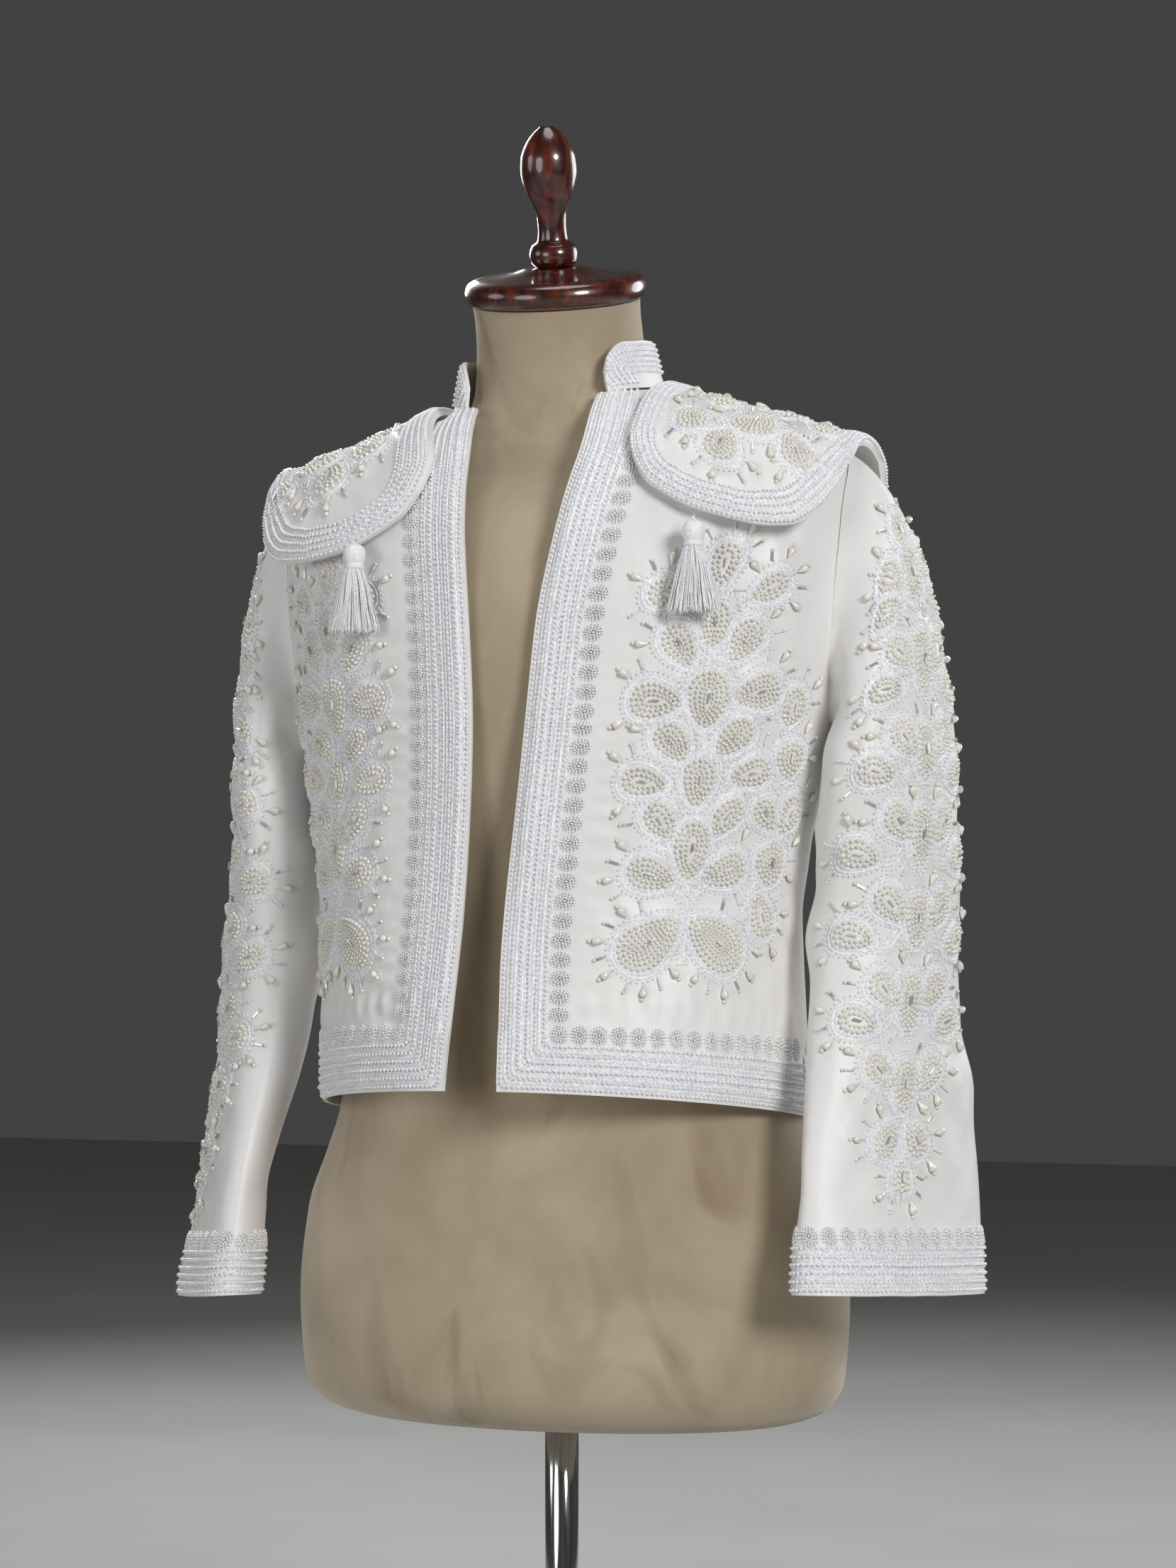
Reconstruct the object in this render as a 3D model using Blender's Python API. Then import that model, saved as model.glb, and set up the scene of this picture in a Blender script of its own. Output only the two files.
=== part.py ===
"""Beaded matador jacket on a limbless dress form with a pole and a round base.

Metres, +Z up, the wearer faces -Y and the wearer's left is +X. The origin is
at the middle of the underside of the base. Angles round the body run from the
front (0) past the wearer's left side (90) to the back (180).
"""
import math

import bmesh
import bpy
import numpy as np
from mathutils import Matrix, Vector

GAP = 0.0003
WALL = 0.0020
EPAULETTE_WALL = 0.0045
COLLAR_WALL = 0.0026
BORDER = (0.003, 0.056)
BORDER_RAISE = 0.0012

# The form and the cloth on it, level by level from below the hem to the neck.
# z, form half width, form front depth, form back depth, centre y,
# cloth half width, cloth front depth, cloth back depth (cloth: inner side)
LEVELS = (
    (0.500, 0.1740, 0.120, 0.128, 0.006, 0.1770, 0.168, 0.133),
    (0.530, 0.1640, 0.116, 0.121, 0.005, 0.1680, 0.164, 0.127),
    (0.600, 0.1570, 0.110, 0.108, 0.002, 0.1680, 0.150, 0.117),
    (0.660, 0.1530, 0.107, 0.102, 0.000, 0.1680, 0.139, 0.112),
    (0.700, 0.1570, 0.109, 0.103, 0.000, 0.1720, 0.134, 0.112),
    (0.740, 0.1650, 0.114, 0.107, 0.000, 0.1790, 0.131, 0.115),
    (0.785, 0.1760, 0.119, 0.112, 0.000, 0.1880, 0.129, 0.118),
    (0.820, 0.1830, 0.121, 0.115, 0.000, 0.1950, 0.128, 0.120),
    (0.860, 0.1870, 0.120, 0.117, 0.000, 0.2010, 0.127, 0.121),
    (0.910, 0.1880, 0.109, 0.113, 0.000, 0.2045, 0.122, 0.117),
    (0.945, 0.1860, 0.091, 0.103, 0.000, 0.2040, 0.112, 0.108),
    (0.965, 0.1680, 0.076, 0.091, 0.000, 0.1985, 0.102, 0.098),
    (0.985, 0.1440, 0.066, 0.081, 0.000, 0.1535, 0.090, 0.088),
    (1.000, 0.1110, 0.061, 0.075, 0.000, 0.1155, 0.078, 0.080),
    (1.012, 0.0800, 0.0565, 0.068, 0.000, 0.0835, 0.067, 0.073),
    (1.020, 0.0665, 0.056, 0.064, 0.000, 0.0695, 0.062, 0.069),
    (1.030, 0.0615, 0.056, 0.061, 0.000, 0.0660, 0.059, 0.066),
    (1.045, 0.0595, 0.056, 0.058, -0.001, 0.0650, 0.058, 0.064),
)
# The form below the cloth: z, half width, front depth, back depth, centre y
HIPS = (
    (0.320, 0.160, 0.098, 0.108, 0.010),
    (0.326, 0.178, 0.113, 0.123, 0.010),
    (0.345, 0.192, 0.126, 0.136, 0.010),
    (0.400, 0.196, 0.130, 0.140, 0.010),
    (0.460, 0.189, 0.126, 0.136, 0.008),
)
# The neck, whose rings tip forward: z, radius sideways, radius front to back,
# centre y, forward tip and sideways tip in degrees
NECK = (
    (1.060, 0.0580, 0.0560, -0.004, 6.0, 1.2),
    (1.075, 0.0575, 0.0560, -0.008, 11.0, 2.8),
    (1.086, 0.0580, 0.0565, -0.011, 15.8, 4.3),
)
# The shoulders stand a little higher and further out on the wearer's left
LEAN = 0.036
SWAY = 0.006
HIP_SHIFT = 0.003
RIGHT_NECK_DROP = 0.070
# How far each front edge lies from the middle: z, wearer's left, right
FRONT_GAP = (
    (0.500, 0.0100, 0.0280), (0.550, 0.0105, 0.0265), (0.660, 0.0110, 0.0180),
    (0.770, 0.0155, 0.0200), (0.850, 0.0225, 0.0240), (0.927, 0.0360, 0.0315),
    (0.980, 0.0440, 0.0370), (1.012, 0.0450, 0.0410), (1.045, 0.0470, 0.0440),
)
HEM_SIDE = 0.527
HEM_FRONT_RISE = 0.021
HEM_BACK_RISE = 0.003
NECKLINE_SIDE = 1.020
NECKLINE_FRONT_DIP = 0.010
NECKLINE_BACK_RISE = 0.010
ARMHOLE_MIDDLE = 0.8735
ARMHOLE_HALF_HEIGHT = 0.0885
ARMHOLE_FRONT = 0.027
ARMHOLE_BACK = 0.054
RIGHT_SLEEVE_IN = 0.003
RIGHT_SLEEVE_FLAT = 0.009

# Left sleeve, inner side, from under the arm to the cuff:
# z, centre x, centre y, half long axis, half short axis, turn in degrees
SLEEVE = (
    (0.755, 0.2285, 0.010, 0.062, 0.0330, 75.0),
    (0.650, 0.2260, 0.017, 0.060, 0.0360, 65.0),
    (0.560, 0.2310, 0.002, 0.069, 0.0270, 63.0),
    (0.490, 0.2380, -0.018, 0.078, 0.0215, 62.0),
    (0.405, 0.2440, -0.036, 0.081, 0.0250, 60.0),
)
CUFF_BAND = 0.038
CUFF_TIP = 0.006
# Soft folds: height, turn round the sleeve in degrees, rise per degree,
# half width along the sleeve, half width round it in degrees, depth inward
SLEEVE_FOLDS = (
    (0.835, 205.0, 0.00035, 0.016, 50.0, -0.0030),
    (0.800, 230.0, 0.00040, 0.014, 40.0, 0.0025),
    (0.690, 330.0, -0.00030, 0.018, 55.0, -0.0030),
    (0.640, 215.0, 0.00025, 0.020, 50.0, -0.0028),
    (0.600, 300.0, -0.00020, 0.018, 60.0, 0.0026),
    (0.540, 20.0, 0.00020, 0.022, 50.0, -0.0025),
)
# Epaulette, inner side: z, half width, front depth and back depth of its level
EPAULETTE_LEVELS = (
    (1.0186, 0.0785, 0.0676, 0.0742), (1.0042, 0.1200, 0.0794, 0.0824),
    (0.9895, 0.1600, 0.0910, 0.0902), (0.9790, 0.1900, 0.0986, 0.0956),
    (0.9735, 0.2050, 0.1022, 0.0984), (0.9705, 0.2125, 0.1040, 0.1000),
    (0.9630, 0.2215, 0.1086, 0.1042), (0.9510, 0.2300, 0.1143, 0.1100),
    (0.9370, 0.2380, 0.1193, 0.1150), (0.9200, 0.2460, 0.1240, 0.1194),
    (0.9050, 0.2480, 0.1268, 0.1222),
)
# How far its edge falls below its ridge: x, fall
EPAULETTE_FALL = (
    (0.0785, 0.040), (0.0850, 0.056), (0.0970, 0.070), (0.1300, 0.0785),
    (0.1600, 0.077), (0.1850, 0.070), (0.1990, 0.056), (0.2075, 0.035),
    (0.2112, 0.018), (0.2125, 0.008),
)
EPAULETTE_RIGHT_EXTRA = 0.012
EPAULETTE_RIGHT_SHARE = 0.925
EPAULETTE_SLANT = {1: 0.003, -1: 0.020}
# Tassels: x, y and the top of the head z
TASSELS = {"left": (0.135, -0.1175, 0.9190), "right": (-0.102, -0.1254, 0.9110)}
TASSEL_LENGTH = 0.058
TASSEL_SPREAD = 3.1

# Raised flower petals on the fronts, from the front edge and the hem:
# across, up, half length, half width, turn in degrees, rise
PETALS = (
    (0.098, 0.105, 0.022, 0.014, 48.0, 0.0022),
    (0.144, 0.105, 0.022, 0.014, -48.0, 0.0022),
    (0.121, 0.158, 0.021, 0.013, 0.0, 0.0022),
    (0.096, 0.196, 0.018, 0.011, 40.0, 0.0020),
    (0.146, 0.200, 0.018, 0.011, -40.0, 0.0020),
    (0.120, 0.250, 0.021, 0.013, 0.0, 0.0022),
    (0.094, 0.292, 0.018, 0.012, 40.0, 0.0020),
    (0.140, 0.305, 0.018, 0.012, -35.0, 0.0020),
)

# The base, the pole and the turned finial
BASE_RADIUS = 0.160
BASE_HEIGHT = 0.016
POLE_RADIUS = 0.0115
CAP_PROFILE = (
    (0.0555, 0.0), (0.0610, 0.003), (0.0630, 0.009), (0.0615, 0.0145), (0.0560, 0.018),
    (0.0420, 0.0195), (0.0300, 0.0215), (0.0200, 0.0245),
)
FINIAL_PROFILE = (
    (0.0130, 0.0), (0.0162, 0.004), (0.0168, 0.009), (0.0150, 0.0145), (0.0108, 0.018),
    (0.0098, 0.026), (0.0102, 0.034), (0.0130, 0.043), (0.0175, 0.054), (0.0196, 0.065),
    (0.0190, 0.074), (0.0152, 0.084), (0.0098, 0.091), (0.0045, 0.0955),
)

COLOURS = {
    "white satin": ((0.84, 0.83, 0.82), 0.45, 0.0),
    "white braid": ((0.80, 0.80, 0.86), 0.55, 0.0),
    "tassel silk": ((0.88, 0.88, 0.88), 0.60, 0.0),
    "beige suede": ((0.37, 0.30, 0.19), 0.90, 0.0),
    "mahogany": ((0.09, 0.020, 0.008), 0.25, 0.0),
    "polished steel": ((0.70, 0.70, 0.70), 0.15, 1.0),
    "dark painted iron": ((0.05, 0.05, 0.05), 0.40, 0.0),
}


def clearScene():
    for obj in list(bpy.data.objects):
        bpy.data.objects.remove(obj, do_unlink=True)


def material(name):
    if name in bpy.data.materials:
        return bpy.data.materials[name]
    colour, roughness, metallic = COLOURS[name]
    made = bpy.data.materials.new(name)
    made.use_nodes = True
    shader = made.node_tree.nodes["Principled BSDF"]
    shader.inputs["Base Color"].default_value = (*colour, 1.0)
    shader.inputs["Roughness"].default_value = roughness
    shader.inputs["Metallic"].default_value = metallic
    return made


def toObject(name, points, faces, look, smooth=True):
    mesh = bpy.data.meshes.new(name)
    mesh.from_pydata([tuple(map(float, p)) for p in points], [], faces)
    mesh.validate()
    work = bmesh.new()
    work.from_mesh(mesh)
    bmesh.ops.recalc_face_normals(work, faces=work.faces)
    work.to_mesh(mesh)
    work.free()
    if smooth:
        mesh.shade_smooth()
        mesh.set_sharp_from_angle(angle=math.radians(50))
    mesh.materials.append(material(look))
    obj = bpy.data.objects.new(name, mesh)
    bpy.context.scene.collection.objects.link(obj)
    return obj


def smoothRead(table, column, at):
    """A smooth curve through one column of a table whose first column is z."""
    rows = np.array([(r[0], r[column]) for r in table], float)
    rows = rows[np.argsort(rows[:, 0])]
    xs, ys = rows[:, 0], rows[:, 1]
    steps = np.diff(ys) / np.diff(xs)
    same = steps[:-1] * steps[1:] > 0
    mid = np.where(same, 2 * steps[:-1] * steps[1:] / np.where(same, steps[:-1] + steps[1:], 1), 0)
    slopes = np.concatenate([steps[:1], mid, steps[-1:]])
    at = np.clip(np.asarray(at, float), xs[0], xs[-1])
    k = np.clip(np.searchsorted(xs, at) - 1, 0, len(xs) - 2)
    h = xs[k + 1] - xs[k]
    t = (at - xs[k]) / h
    return (
        (2 * t**3 - 3 * t**2 + 1) * ys[k]
        + (t**3 - 2 * t**2 + t) * h * slopes[k]
        + (3 * t**2 - 2 * t**3) * ys[k + 1]
        + (t**3 - t**2) * h * slopes[k + 1]
    )


def ease(t):
    t = np.clip(t, 0.0, 1.0)
    return t * t * (3 - 2 * t)


def settle(points):
    """The slight lean of the shoulders and the neck, the same for form and cloth."""
    points = np.array(points, float)
    x, z = points[..., 0].copy(), points[..., 2].copy()
    atNeck = ease((z - 0.98) / 0.03) * (1 - ease((z - 1.052) / 0.012))
    points[..., 2] += LEAN * x * ease((z - 0.56) / 0.20) + RIGHT_NECK_DROP * np.clip(x, -0.07, 0) * atNeck
    points[..., 0] += SWAY * ease((z - 0.62) / 0.20) * (1 - ease((z - 0.97) / 0.07))
    points[..., 0] += HIP_SHIFT * (1 - ease((z - 0.53) / 0.12))
    return points


def settleSleeve(points, side):
    """The same lean down the whole sleeve; the right one hangs closer in and flatter."""
    points = np.array(points, float)
    x, z = points[..., 0].copy(), points[..., 2].copy()
    points[..., 2] += LEAN * points[..., 0]
    points[..., 0] += SWAY * ease((z - 0.62) / 0.20) * (1 - ease((z - 0.97) / 0.07))
    if side < 0:
        points[..., 0] += RIGHT_SLEEVE_IN * ease((0.80 - z) / 0.10) * ease((z - 0.62) / 0.10)
        flat = ease((z - 0.60) / 0.14) * (1 - ease((z - 0.90) / 0.05))
        points[..., 0] += RIGHT_SLEEVE_FLAT * ease((-x - 0.205) / 0.05) * flat
    return points


def bodyPoint(z, angle, columns=(5, 6, 7)):
    """A point of the cloth's inner side (or, with columns 1 to 3, of the form)."""
    across = smoothRead(LEVELS, columns[0], z) * np.sin(angle)
    front = smoothRead(LEVELS, columns[1], z)
    back = smoothRead(LEVELS, columns[2], z)
    depth = np.where(np.cos(angle) > 0, front, back)
    y = smoothRead(LEVELS, 4, z) - depth * np.cos(angle)
    return np.stack([across, y, z + 0 * across], axis=-1)


def bodyNormal(z, angle):
    step = 1e-4
    up = bodyPoint(z + step, angle) - bodyPoint(z - step, angle)
    turn = bodyPoint(z, angle + step) - bodyPoint(z, angle - step)
    out = np.cross(turn, up)
    return out / np.linalg.norm(out, axis=-1, keepdims=True)


def hemZ(angle):
    rise = np.where(np.cos(angle) > 0, HEM_FRONT_RISE, -HEM_BACK_RISE)
    return HEM_SIDE + rise * np.cos(angle)


def necklineZ(angle):
    dip = np.where(np.cos(angle) > 0, NECKLINE_FRONT_DIP, NECKLINE_BACK_RISE)
    return NECKLINE_SIDE - dip * np.cos(angle)


def frontAngle(z, side):
    return np.arcsin(smoothRead(FRONT_GAP, 1 if side > 0 else 2, z) / smoothRead(LEVELS, 5, z))


def armholeAngle(z, column):
    """Angle from the middle of the front (or back) to the armhole's edge."""
    up = np.clip((z - ARMHOLE_MIDDLE) / ARMHOLE_HALF_HEIGHT, -1, 1)
    wide = ARMHOLE_FRONT if column == 6 else ARMHOLE_BACK
    half = wide * np.sqrt(1 - up**2) + GAP / 2
    return np.arccos(half / smoothRead(LEVELS, column, z))


def rowHeights():
    """Heights at the side: even rows below, closer ones at the armhole's ends."""
    low = ARMHOLE_MIDDLE - ARMHOLE_HALF_HEIGHT
    high = ARMHOLE_MIDDLE + ARMHOLE_HALF_HEIGHT
    below = np.linspace(HEM_SIDE, low, 13)[:-1]
    beside = ARMHOLE_MIDDLE - ARMHOLE_HALF_HEIGHT * np.cos(np.linspace(0, math.pi, 11))
    above = np.linspace(high, NECKLINE_SIDE, 7)[1:]
    return np.concatenate([below, beside, above])


def levelled(rows, angle):
    """Bends straight rows so that the lowest follows the hem and the top the neckline."""
    low = (hemZ(angle) - HEM_SIDE) * (1 - ease((rows - HEM_SIDE) / 0.12))
    high = (necklineZ(angle) - NECKLINE_SIDE) * ease((rows - 0.95) / (NECKLINE_SIDE - 0.95))
    return rows + low + high


def normalsOf(grid, closed):
    """Outward normals of a grid of points, rows up and columns round."""
    along = np.gradient(grid, axis=0)
    if closed:
        turn = np.roll(grid, -1, axis=1) - np.roll(grid, 1, axis=1)
    else:
        turn = np.gradient(grid, axis=1)
    out = np.cross(turn, along)
    return out / np.linalg.norm(out, axis=-1, keepdims=True)


def rim(fine, coarse):
    """Joins a fine edge to an edge with half as many pieces."""
    faces = []
    for k in range(len(coarse) - 1):
        a, b = coarse[k], coarse[k + 1]
        p, q, r = fine[2 * k], fine[2 * k + 1], fine[2 * k + 2]
        faces += [(a, p, q), (a, q, b), (b, q, r)]
    return faces


def shell(name, outer, inner, closed, look):
    """A wall between a fine outer grid and every second point of an inner one."""
    thin = inner[::2, ::2]
    rows, columns = outer.shape[:2]
    thinRows, thinColumns = thin.shape[:2]
    points = np.concatenate([outer.reshape(-1, 3), thin.reshape(-1, 3)])
    start = rows * columns
    faces = []
    for count, wide, first in ((rows, columns, 0), (thinRows, thinColumns, start)):
        for i in range(count - 1):
            for j in range(wide if closed else wide - 1):
                k = (j + 1) % wide
                a, b = first + i * wide + j, first + i * wide + k
                c, d = first + (i + 1) * wide + k, first + (i + 1) * wide + j
                faces.append((a, b, c, d))
    fineRow = [list(range(columns)), [(rows - 1) * columns + j for j in range(columns)]]
    thinRow = [
        [start + j for j in range(thinColumns)],
        [start + (thinRows - 1) * thinColumns + j for j in range(thinColumns)],
    ]
    for fine, coarse in zip(fineRow, thinRow):
        if closed:
            fine, coarse = fine + fine[:1], coarse + coarse[:1]
        faces += rim(fine, coarse)
    if not closed:
        for j, k in ((0, 0), (columns - 1, thinColumns - 1)):
            fine = [i * columns + j for i in range(rows)]
            coarse = [start + i * thinColumns + k for i in range(thinRows)]
            faces += rim(fine, coarse)
    return toObject(name, points, faces, look)


def band(distance, width=BORDER):
    """One inside a border band that starts a little way from an edge, else zero."""
    start, end = width
    return ease((distance - start) / 0.004) * (1 - ease((distance - end) / 0.004))


def petalRise(across, up):
    rise = np.zeros_like(across)
    for centre, height, long, short, turn, most in PETALS:
        a = math.radians(turn)
        du, dv = across - centre, up - height
        v = dv * math.cos(a) - du * math.sin(a)
        u = du * math.cos(a) + dv * math.sin(a)
        rise = np.maximum(rise, most * ease(1.3 - 1.3 * ((u / short) ** 2 + (v / long) ** 2)))
    return rise


def front(name, side):
    """One front: from its front edge to the side seam, the armhole and the shoulder."""
    fractions = np.array([0, 0.03, 0.09, 0.18, 0.27, 0.35, 0.43, 0.52, 0.61, 0.70, 0.80, 0.90, 1])
    rows = rowHeights()
    zs, parts = np.meshgrid(rows, fractions, indexing="ij")
    angles = np.full_like(zs, math.radians(45))
    for _ in range(4):
        heights = levelled(zs, angles)
        start = frontAngle(heights, side)
        end = armholeAngle(zs, 6)
        angles = start + (end - start) * parts
    heights = levelled(zs, angles)
    inner = bodyPoint(heights, angles)
    normal = bodyNormal(heights, angles)
    across = np.zeros(zs.shape)
    across[:, 1:] = np.cumsum(np.linalg.norm(np.diff(inner, axis=1), axis=2), axis=1)
    up = heights - hemZ(angles)
    border = np.maximum(band(across), band(up))
    rise = np.maximum(BORDER_RAISE * border, petalRise(across, up))
    rise *= 1 - ease((heights - 0.955) / 0.02) * ease((parts - 0.2) / 0.1)
    outer = inner + normal * (WALL + rise[..., None])
    inner, outer = (settle(grid * (side, 1, 1)) for grid in (inner, outer))
    return shell(name, outer, inner, False, "white satin")


def back(name):
    """The back in one piece, from side seam to side seam."""
    rows = rowHeights()
    parts = np.linspace(-1, 1, 21)
    zs, parts = np.meshgrid(rows, parts, indexing="ij")
    end = armholeAngle(zs, 7)
    angles = math.pi - parts * end
    heights = levelled(zs, angles)
    inner = bodyPoint(heights, angles)
    up = heights - hemZ(angles)
    hang = 0.0015 * np.sin(parts * 9.5 + 0.6) * (1 - ease((up - 0.02) / 0.20)) * (1 - parts**2)
    rise = BORDER_RAISE * band(up, (0.003, 0.030)) + hang * 0.6
    normal = bodyNormal(heights, angles)
    inner = inner + normal * (hang * 0.6)[..., None]
    outer = inner + normal * (WALL + rise - hang * 0.6)[..., None]
    return shell(name, settle(outer), settle(inner), False, "white satin")


def collar(name):
    """The stand collar: rounded at its front ends, tipped in at the back."""
    fit = math.radians(37.0)
    turns = np.linspace(fit, 2 * math.pi - fit, 31)
    levels = np.linspace(0, 1, 5)
    ups, angles = np.meshgrid(levels, turns, indexing="ij")
    folded = np.where(angles > math.pi, 2 * math.pi - angles, angles)
    base = bodyPoint(necklineZ(folded), folded)
    normal = bodyNormal(necklineZ(folded), folded)
    base += normal * (WALL + GAP * 1.5)
    base[..., 0] *= np.where(angles > math.pi, -1, 1)
    radial = base * (1, 1, 0)
    radial /= np.linalg.norm(radial, axis=-1, keepdims=True)
    fromEnd = np.minimum(angles, 2 * math.pi - angles) - fit
    corner = 1 - 0.45 * (1 - ease(fromEnd * 0.075 / 0.014)) ** 2
    height = 0.033 * corner * ups
    lean = -0.0085 * (0.3 + 0.7 * ease((folded - fit) / 0.4)) * ups
    lift = np.zeros_like(base)
    lift[..., 2] = height + 3 * GAP
    inner = base + lift + radial * (lean[..., None] - COLLAR_WALL * 0.6)
    outer = inner + radial * COLLAR_WALL
    return shell(name, settle(outer), settle(inner), False, "white braid")


def sleeveSection(z, turn):
    cx, cy, a, b, tilt = (smoothRead(SLEEVE, c, z) for c in range(1, 6))
    tilt = np.radians(tilt)
    p, q = a * np.cos(turn), b * np.sin(turn)
    x = cx + p * np.cos(tilt) + q * np.sin(tilt)
    y = cy + p * np.sin(tilt) - q * np.cos(tilt)
    return np.stack([x, y, z + 0 * x], axis=-1)


def armholeRing(turn, pull):
    """Where the sleeve starts, just clear of the body's outer side."""
    z = ARMHOLE_MIDDLE + (ARMHOLE_HALF_HEIGHT + 0.001) * np.sin(turn)
    y = np.where(np.cos(turn) < 0, ARMHOLE_FRONT + 0.001, ARMHOLE_BACK + 0.001) * np.cos(turn)
    depth = np.where(y < 0, smoothRead(LEVELS, 6, z), smoothRead(LEVELS, 7, z))
    angle = np.arccos(-y / depth)
    point, normal = bodyPoint(z, angle), bodyNormal(z, angle)
    radial = np.stack([0 * turn, np.cos(turn) * 0.5, np.sin(turn)], axis=-1)
    way = pull / np.linalg.norm(pull, axis=-1, keepdims=True)
    radial = radial - way * (radial * way).sum(-1, keepdims=True)
    radial /= np.linalg.norm(radial, axis=-1, keepdims=True)
    lean = np.clip((radial * normal).sum(-1), 0, 1)
    return point + normal * (WALL + 0.0006 + WALL * 1.15 * lean)[..., None]


def sleeveFolds(z, turn):
    depth = np.zeros_like(z)
    degrees = np.degrees(turn)
    for height, middle, rise, tall, wide, most in SLEEVE_FOLDS:
        round_ = (degrees - middle + 180) % 360 - 180
        off = z - height - rise * round_
        depth += most * np.exp(-((off / tall) ** 2) - (round_ / wide) ** 2)
    return depth


def sleeveGrid():
    """The inner side of the left sleeve: a blended head, then its sections."""
    turns = np.arange(28) * 2 * math.pi / 28
    topness = ((1 + np.sin(turns)) / 2) ** 1.3
    low, high = np.array([0.012, 0, 0.0]), np.array([0.160, 0, -0.110])
    pull = low + (high - low) * topness[:, None]
    lowEnd, highEnd = np.array([0, 0, -0.040]), np.array([0.010, 0, -0.200])
    leave = lowEnd + (highEnd - lowEnd) * topness[:, None]
    first = armholeRing(turns, pull)
    last = sleeveSection(np.full(28, SLEEVE[0][0]), turns)
    rows = []
    for s in (0, 0.06, 0.14, 0.24, 0.36, 0.48, 0.61, 0.74, 0.87):
        rows.append(
            (2 * s**3 - 3 * s**2 + 1) * first
            + (s**3 - 2 * s**2 + s) * pull
            + (3 * s**2 - 2 * s**3) * last
            + (s**3 - s**2) * leave
        )
    top, bottom = SLEEVE[0][0], SLEEVE[-1][0]
    for z in np.linspace(top, bottom, 16):
        tip = -CUFF_TIP * np.cos(turns) * ease((top - z) / (top - bottom)) ** 2
        section = sleeveSection(np.full(28, z), turns)
        section[:, 2] += tip
        rows.append(section)
    return np.stack(rows), turns


def sleeve(name, side):
    inner, turns = sleeveGrid()
    normal = normalsOf(inner, True)
    bottom = SLEEVE[-1][0]
    around = np.broadcast_to(turns, inner.shape[:2])
    fade = np.ones(len(inner))
    fade[:4] = (0, 0, 0.2, 0.6)
    folds = sleeveFolds(inner[..., 2], around) * fade[:, None]
    lowered = inner[..., 2] - bottom + CUFF_TIP * np.cos(around)
    rise = BORDER_RAISE * (1 - ease((lowered - CUFF_BAND) / 0.010))
    inner = inner - normal * folds[..., None]
    outer = inner + normal * (WALL + rise)[..., None]
    inner, outer = (settleSleeve(grid * (side, 1, 1), side) for grid in (inner, outer))
    return shell(name, outer, inner, True, "white satin")


def epauletteGrid(side):
    dense = np.linspace(1.0186, 0.9700, 400)
    widths = smoothRead(EPAULETTE_LEVELS, 1, dense)
    xs = np.array([0.0785, 0.0815, 0.087, 0.097, 0.113, 0.132, 0.151,
                   0.169, 0.184, 0.196, 0.205, 0.210, 0.2125])
    fall = smoothRead(EPAULETTE_FALL, 1, xs)
    if side < 0:
        xs = xs[0] + (xs - xs[0]) * EPAULETTE_RIGHT_SHARE
    ridge = np.interp(xs, widths, dense)
    extra = EPAULETTE_RIGHT_EXTRA * (1 - 0.7 * ease((xs - 0.12) / 0.06)) if side < 0 else 0
    fall = fall + extra * ease((fall - 0.02) / 0.03)
    parts = np.linspace(-1, 1, 21)
    grid = np.zeros((len(xs), len(parts), 3))
    for i, start in enumerate(xs):
        slant = EPAULETTE_SLANT[side] * ease((0.150 - start) / 0.072)
        x = start - slant * np.where(parts < 0, parts**2, 0)
        z = ridge[i] - fall[i] * parts**2
        width = smoothRead(EPAULETTE_LEVELS, 1, z)
        depth = np.where(parts < 0, smoothRead(EPAULETTE_LEVELS, 2, z), smoothRead(EPAULETTE_LEVELS, 3, z))
        y = np.sign(parts) * depth * np.sqrt(np.clip(1 - (x / width) ** 2, 0, 1))
        grid[i] = np.stack([x, y, z], axis=-1)
    return grid, parts


def epaulette(name, side):
    """A stiff quilted piece over the shoulder, with a raised border."""
    inner, parts = epauletteGrid(side)
    normal = normalsOf(inner, False)
    if normal[6, 10, 2] < 0:
        normal = -normal
    edge = 1 - np.abs(parts)[None, :] * np.ones((len(inner), 1))
    puff = 0.0012 * np.sin(edge * 14) ** 2 + 0.0010 * (edge < 0.28)
    inner = inner + normal * (2 * GAP if side < 0 else -GAP)
    outer = inner + normal * (EPAULETTE_WALL + puff[..., None])
    inner, outer = (settle(grid * (side, 1, 1)) for grid in (inner, outer))
    return shell(name, outer, inner, False, "white braid")


def closedRings(count, segments):
    """The faces of a stack of rings, with a flat face at each end."""
    faces = []
    for i in range(count - 1):
        for k in range(segments):
            a, b = i * segments + k, i * segments + (k + 1) % segments
            faces.append((a, b, b + segments, a + segments))
    faces.append(tuple(range(segments))[::-1])
    faces.append(tuple((count - 1) * segments + k for k in range(segments)))
    return faces


def lathe(name, profile, segments, look, place=None):
    """A closed turned piece from a profile of radius and height."""
    points = []
    for radius, height in profile:
        for k in range(segments):
            a = 2 * math.pi * k / segments
            points.append((radius * math.cos(a), radius * math.sin(a), height))
    if place is not None:
        points = [tuple(place @ Vector(p)) for p in points]
    return toObject(name, points, closedRings(len(profile), segments), look)


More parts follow.
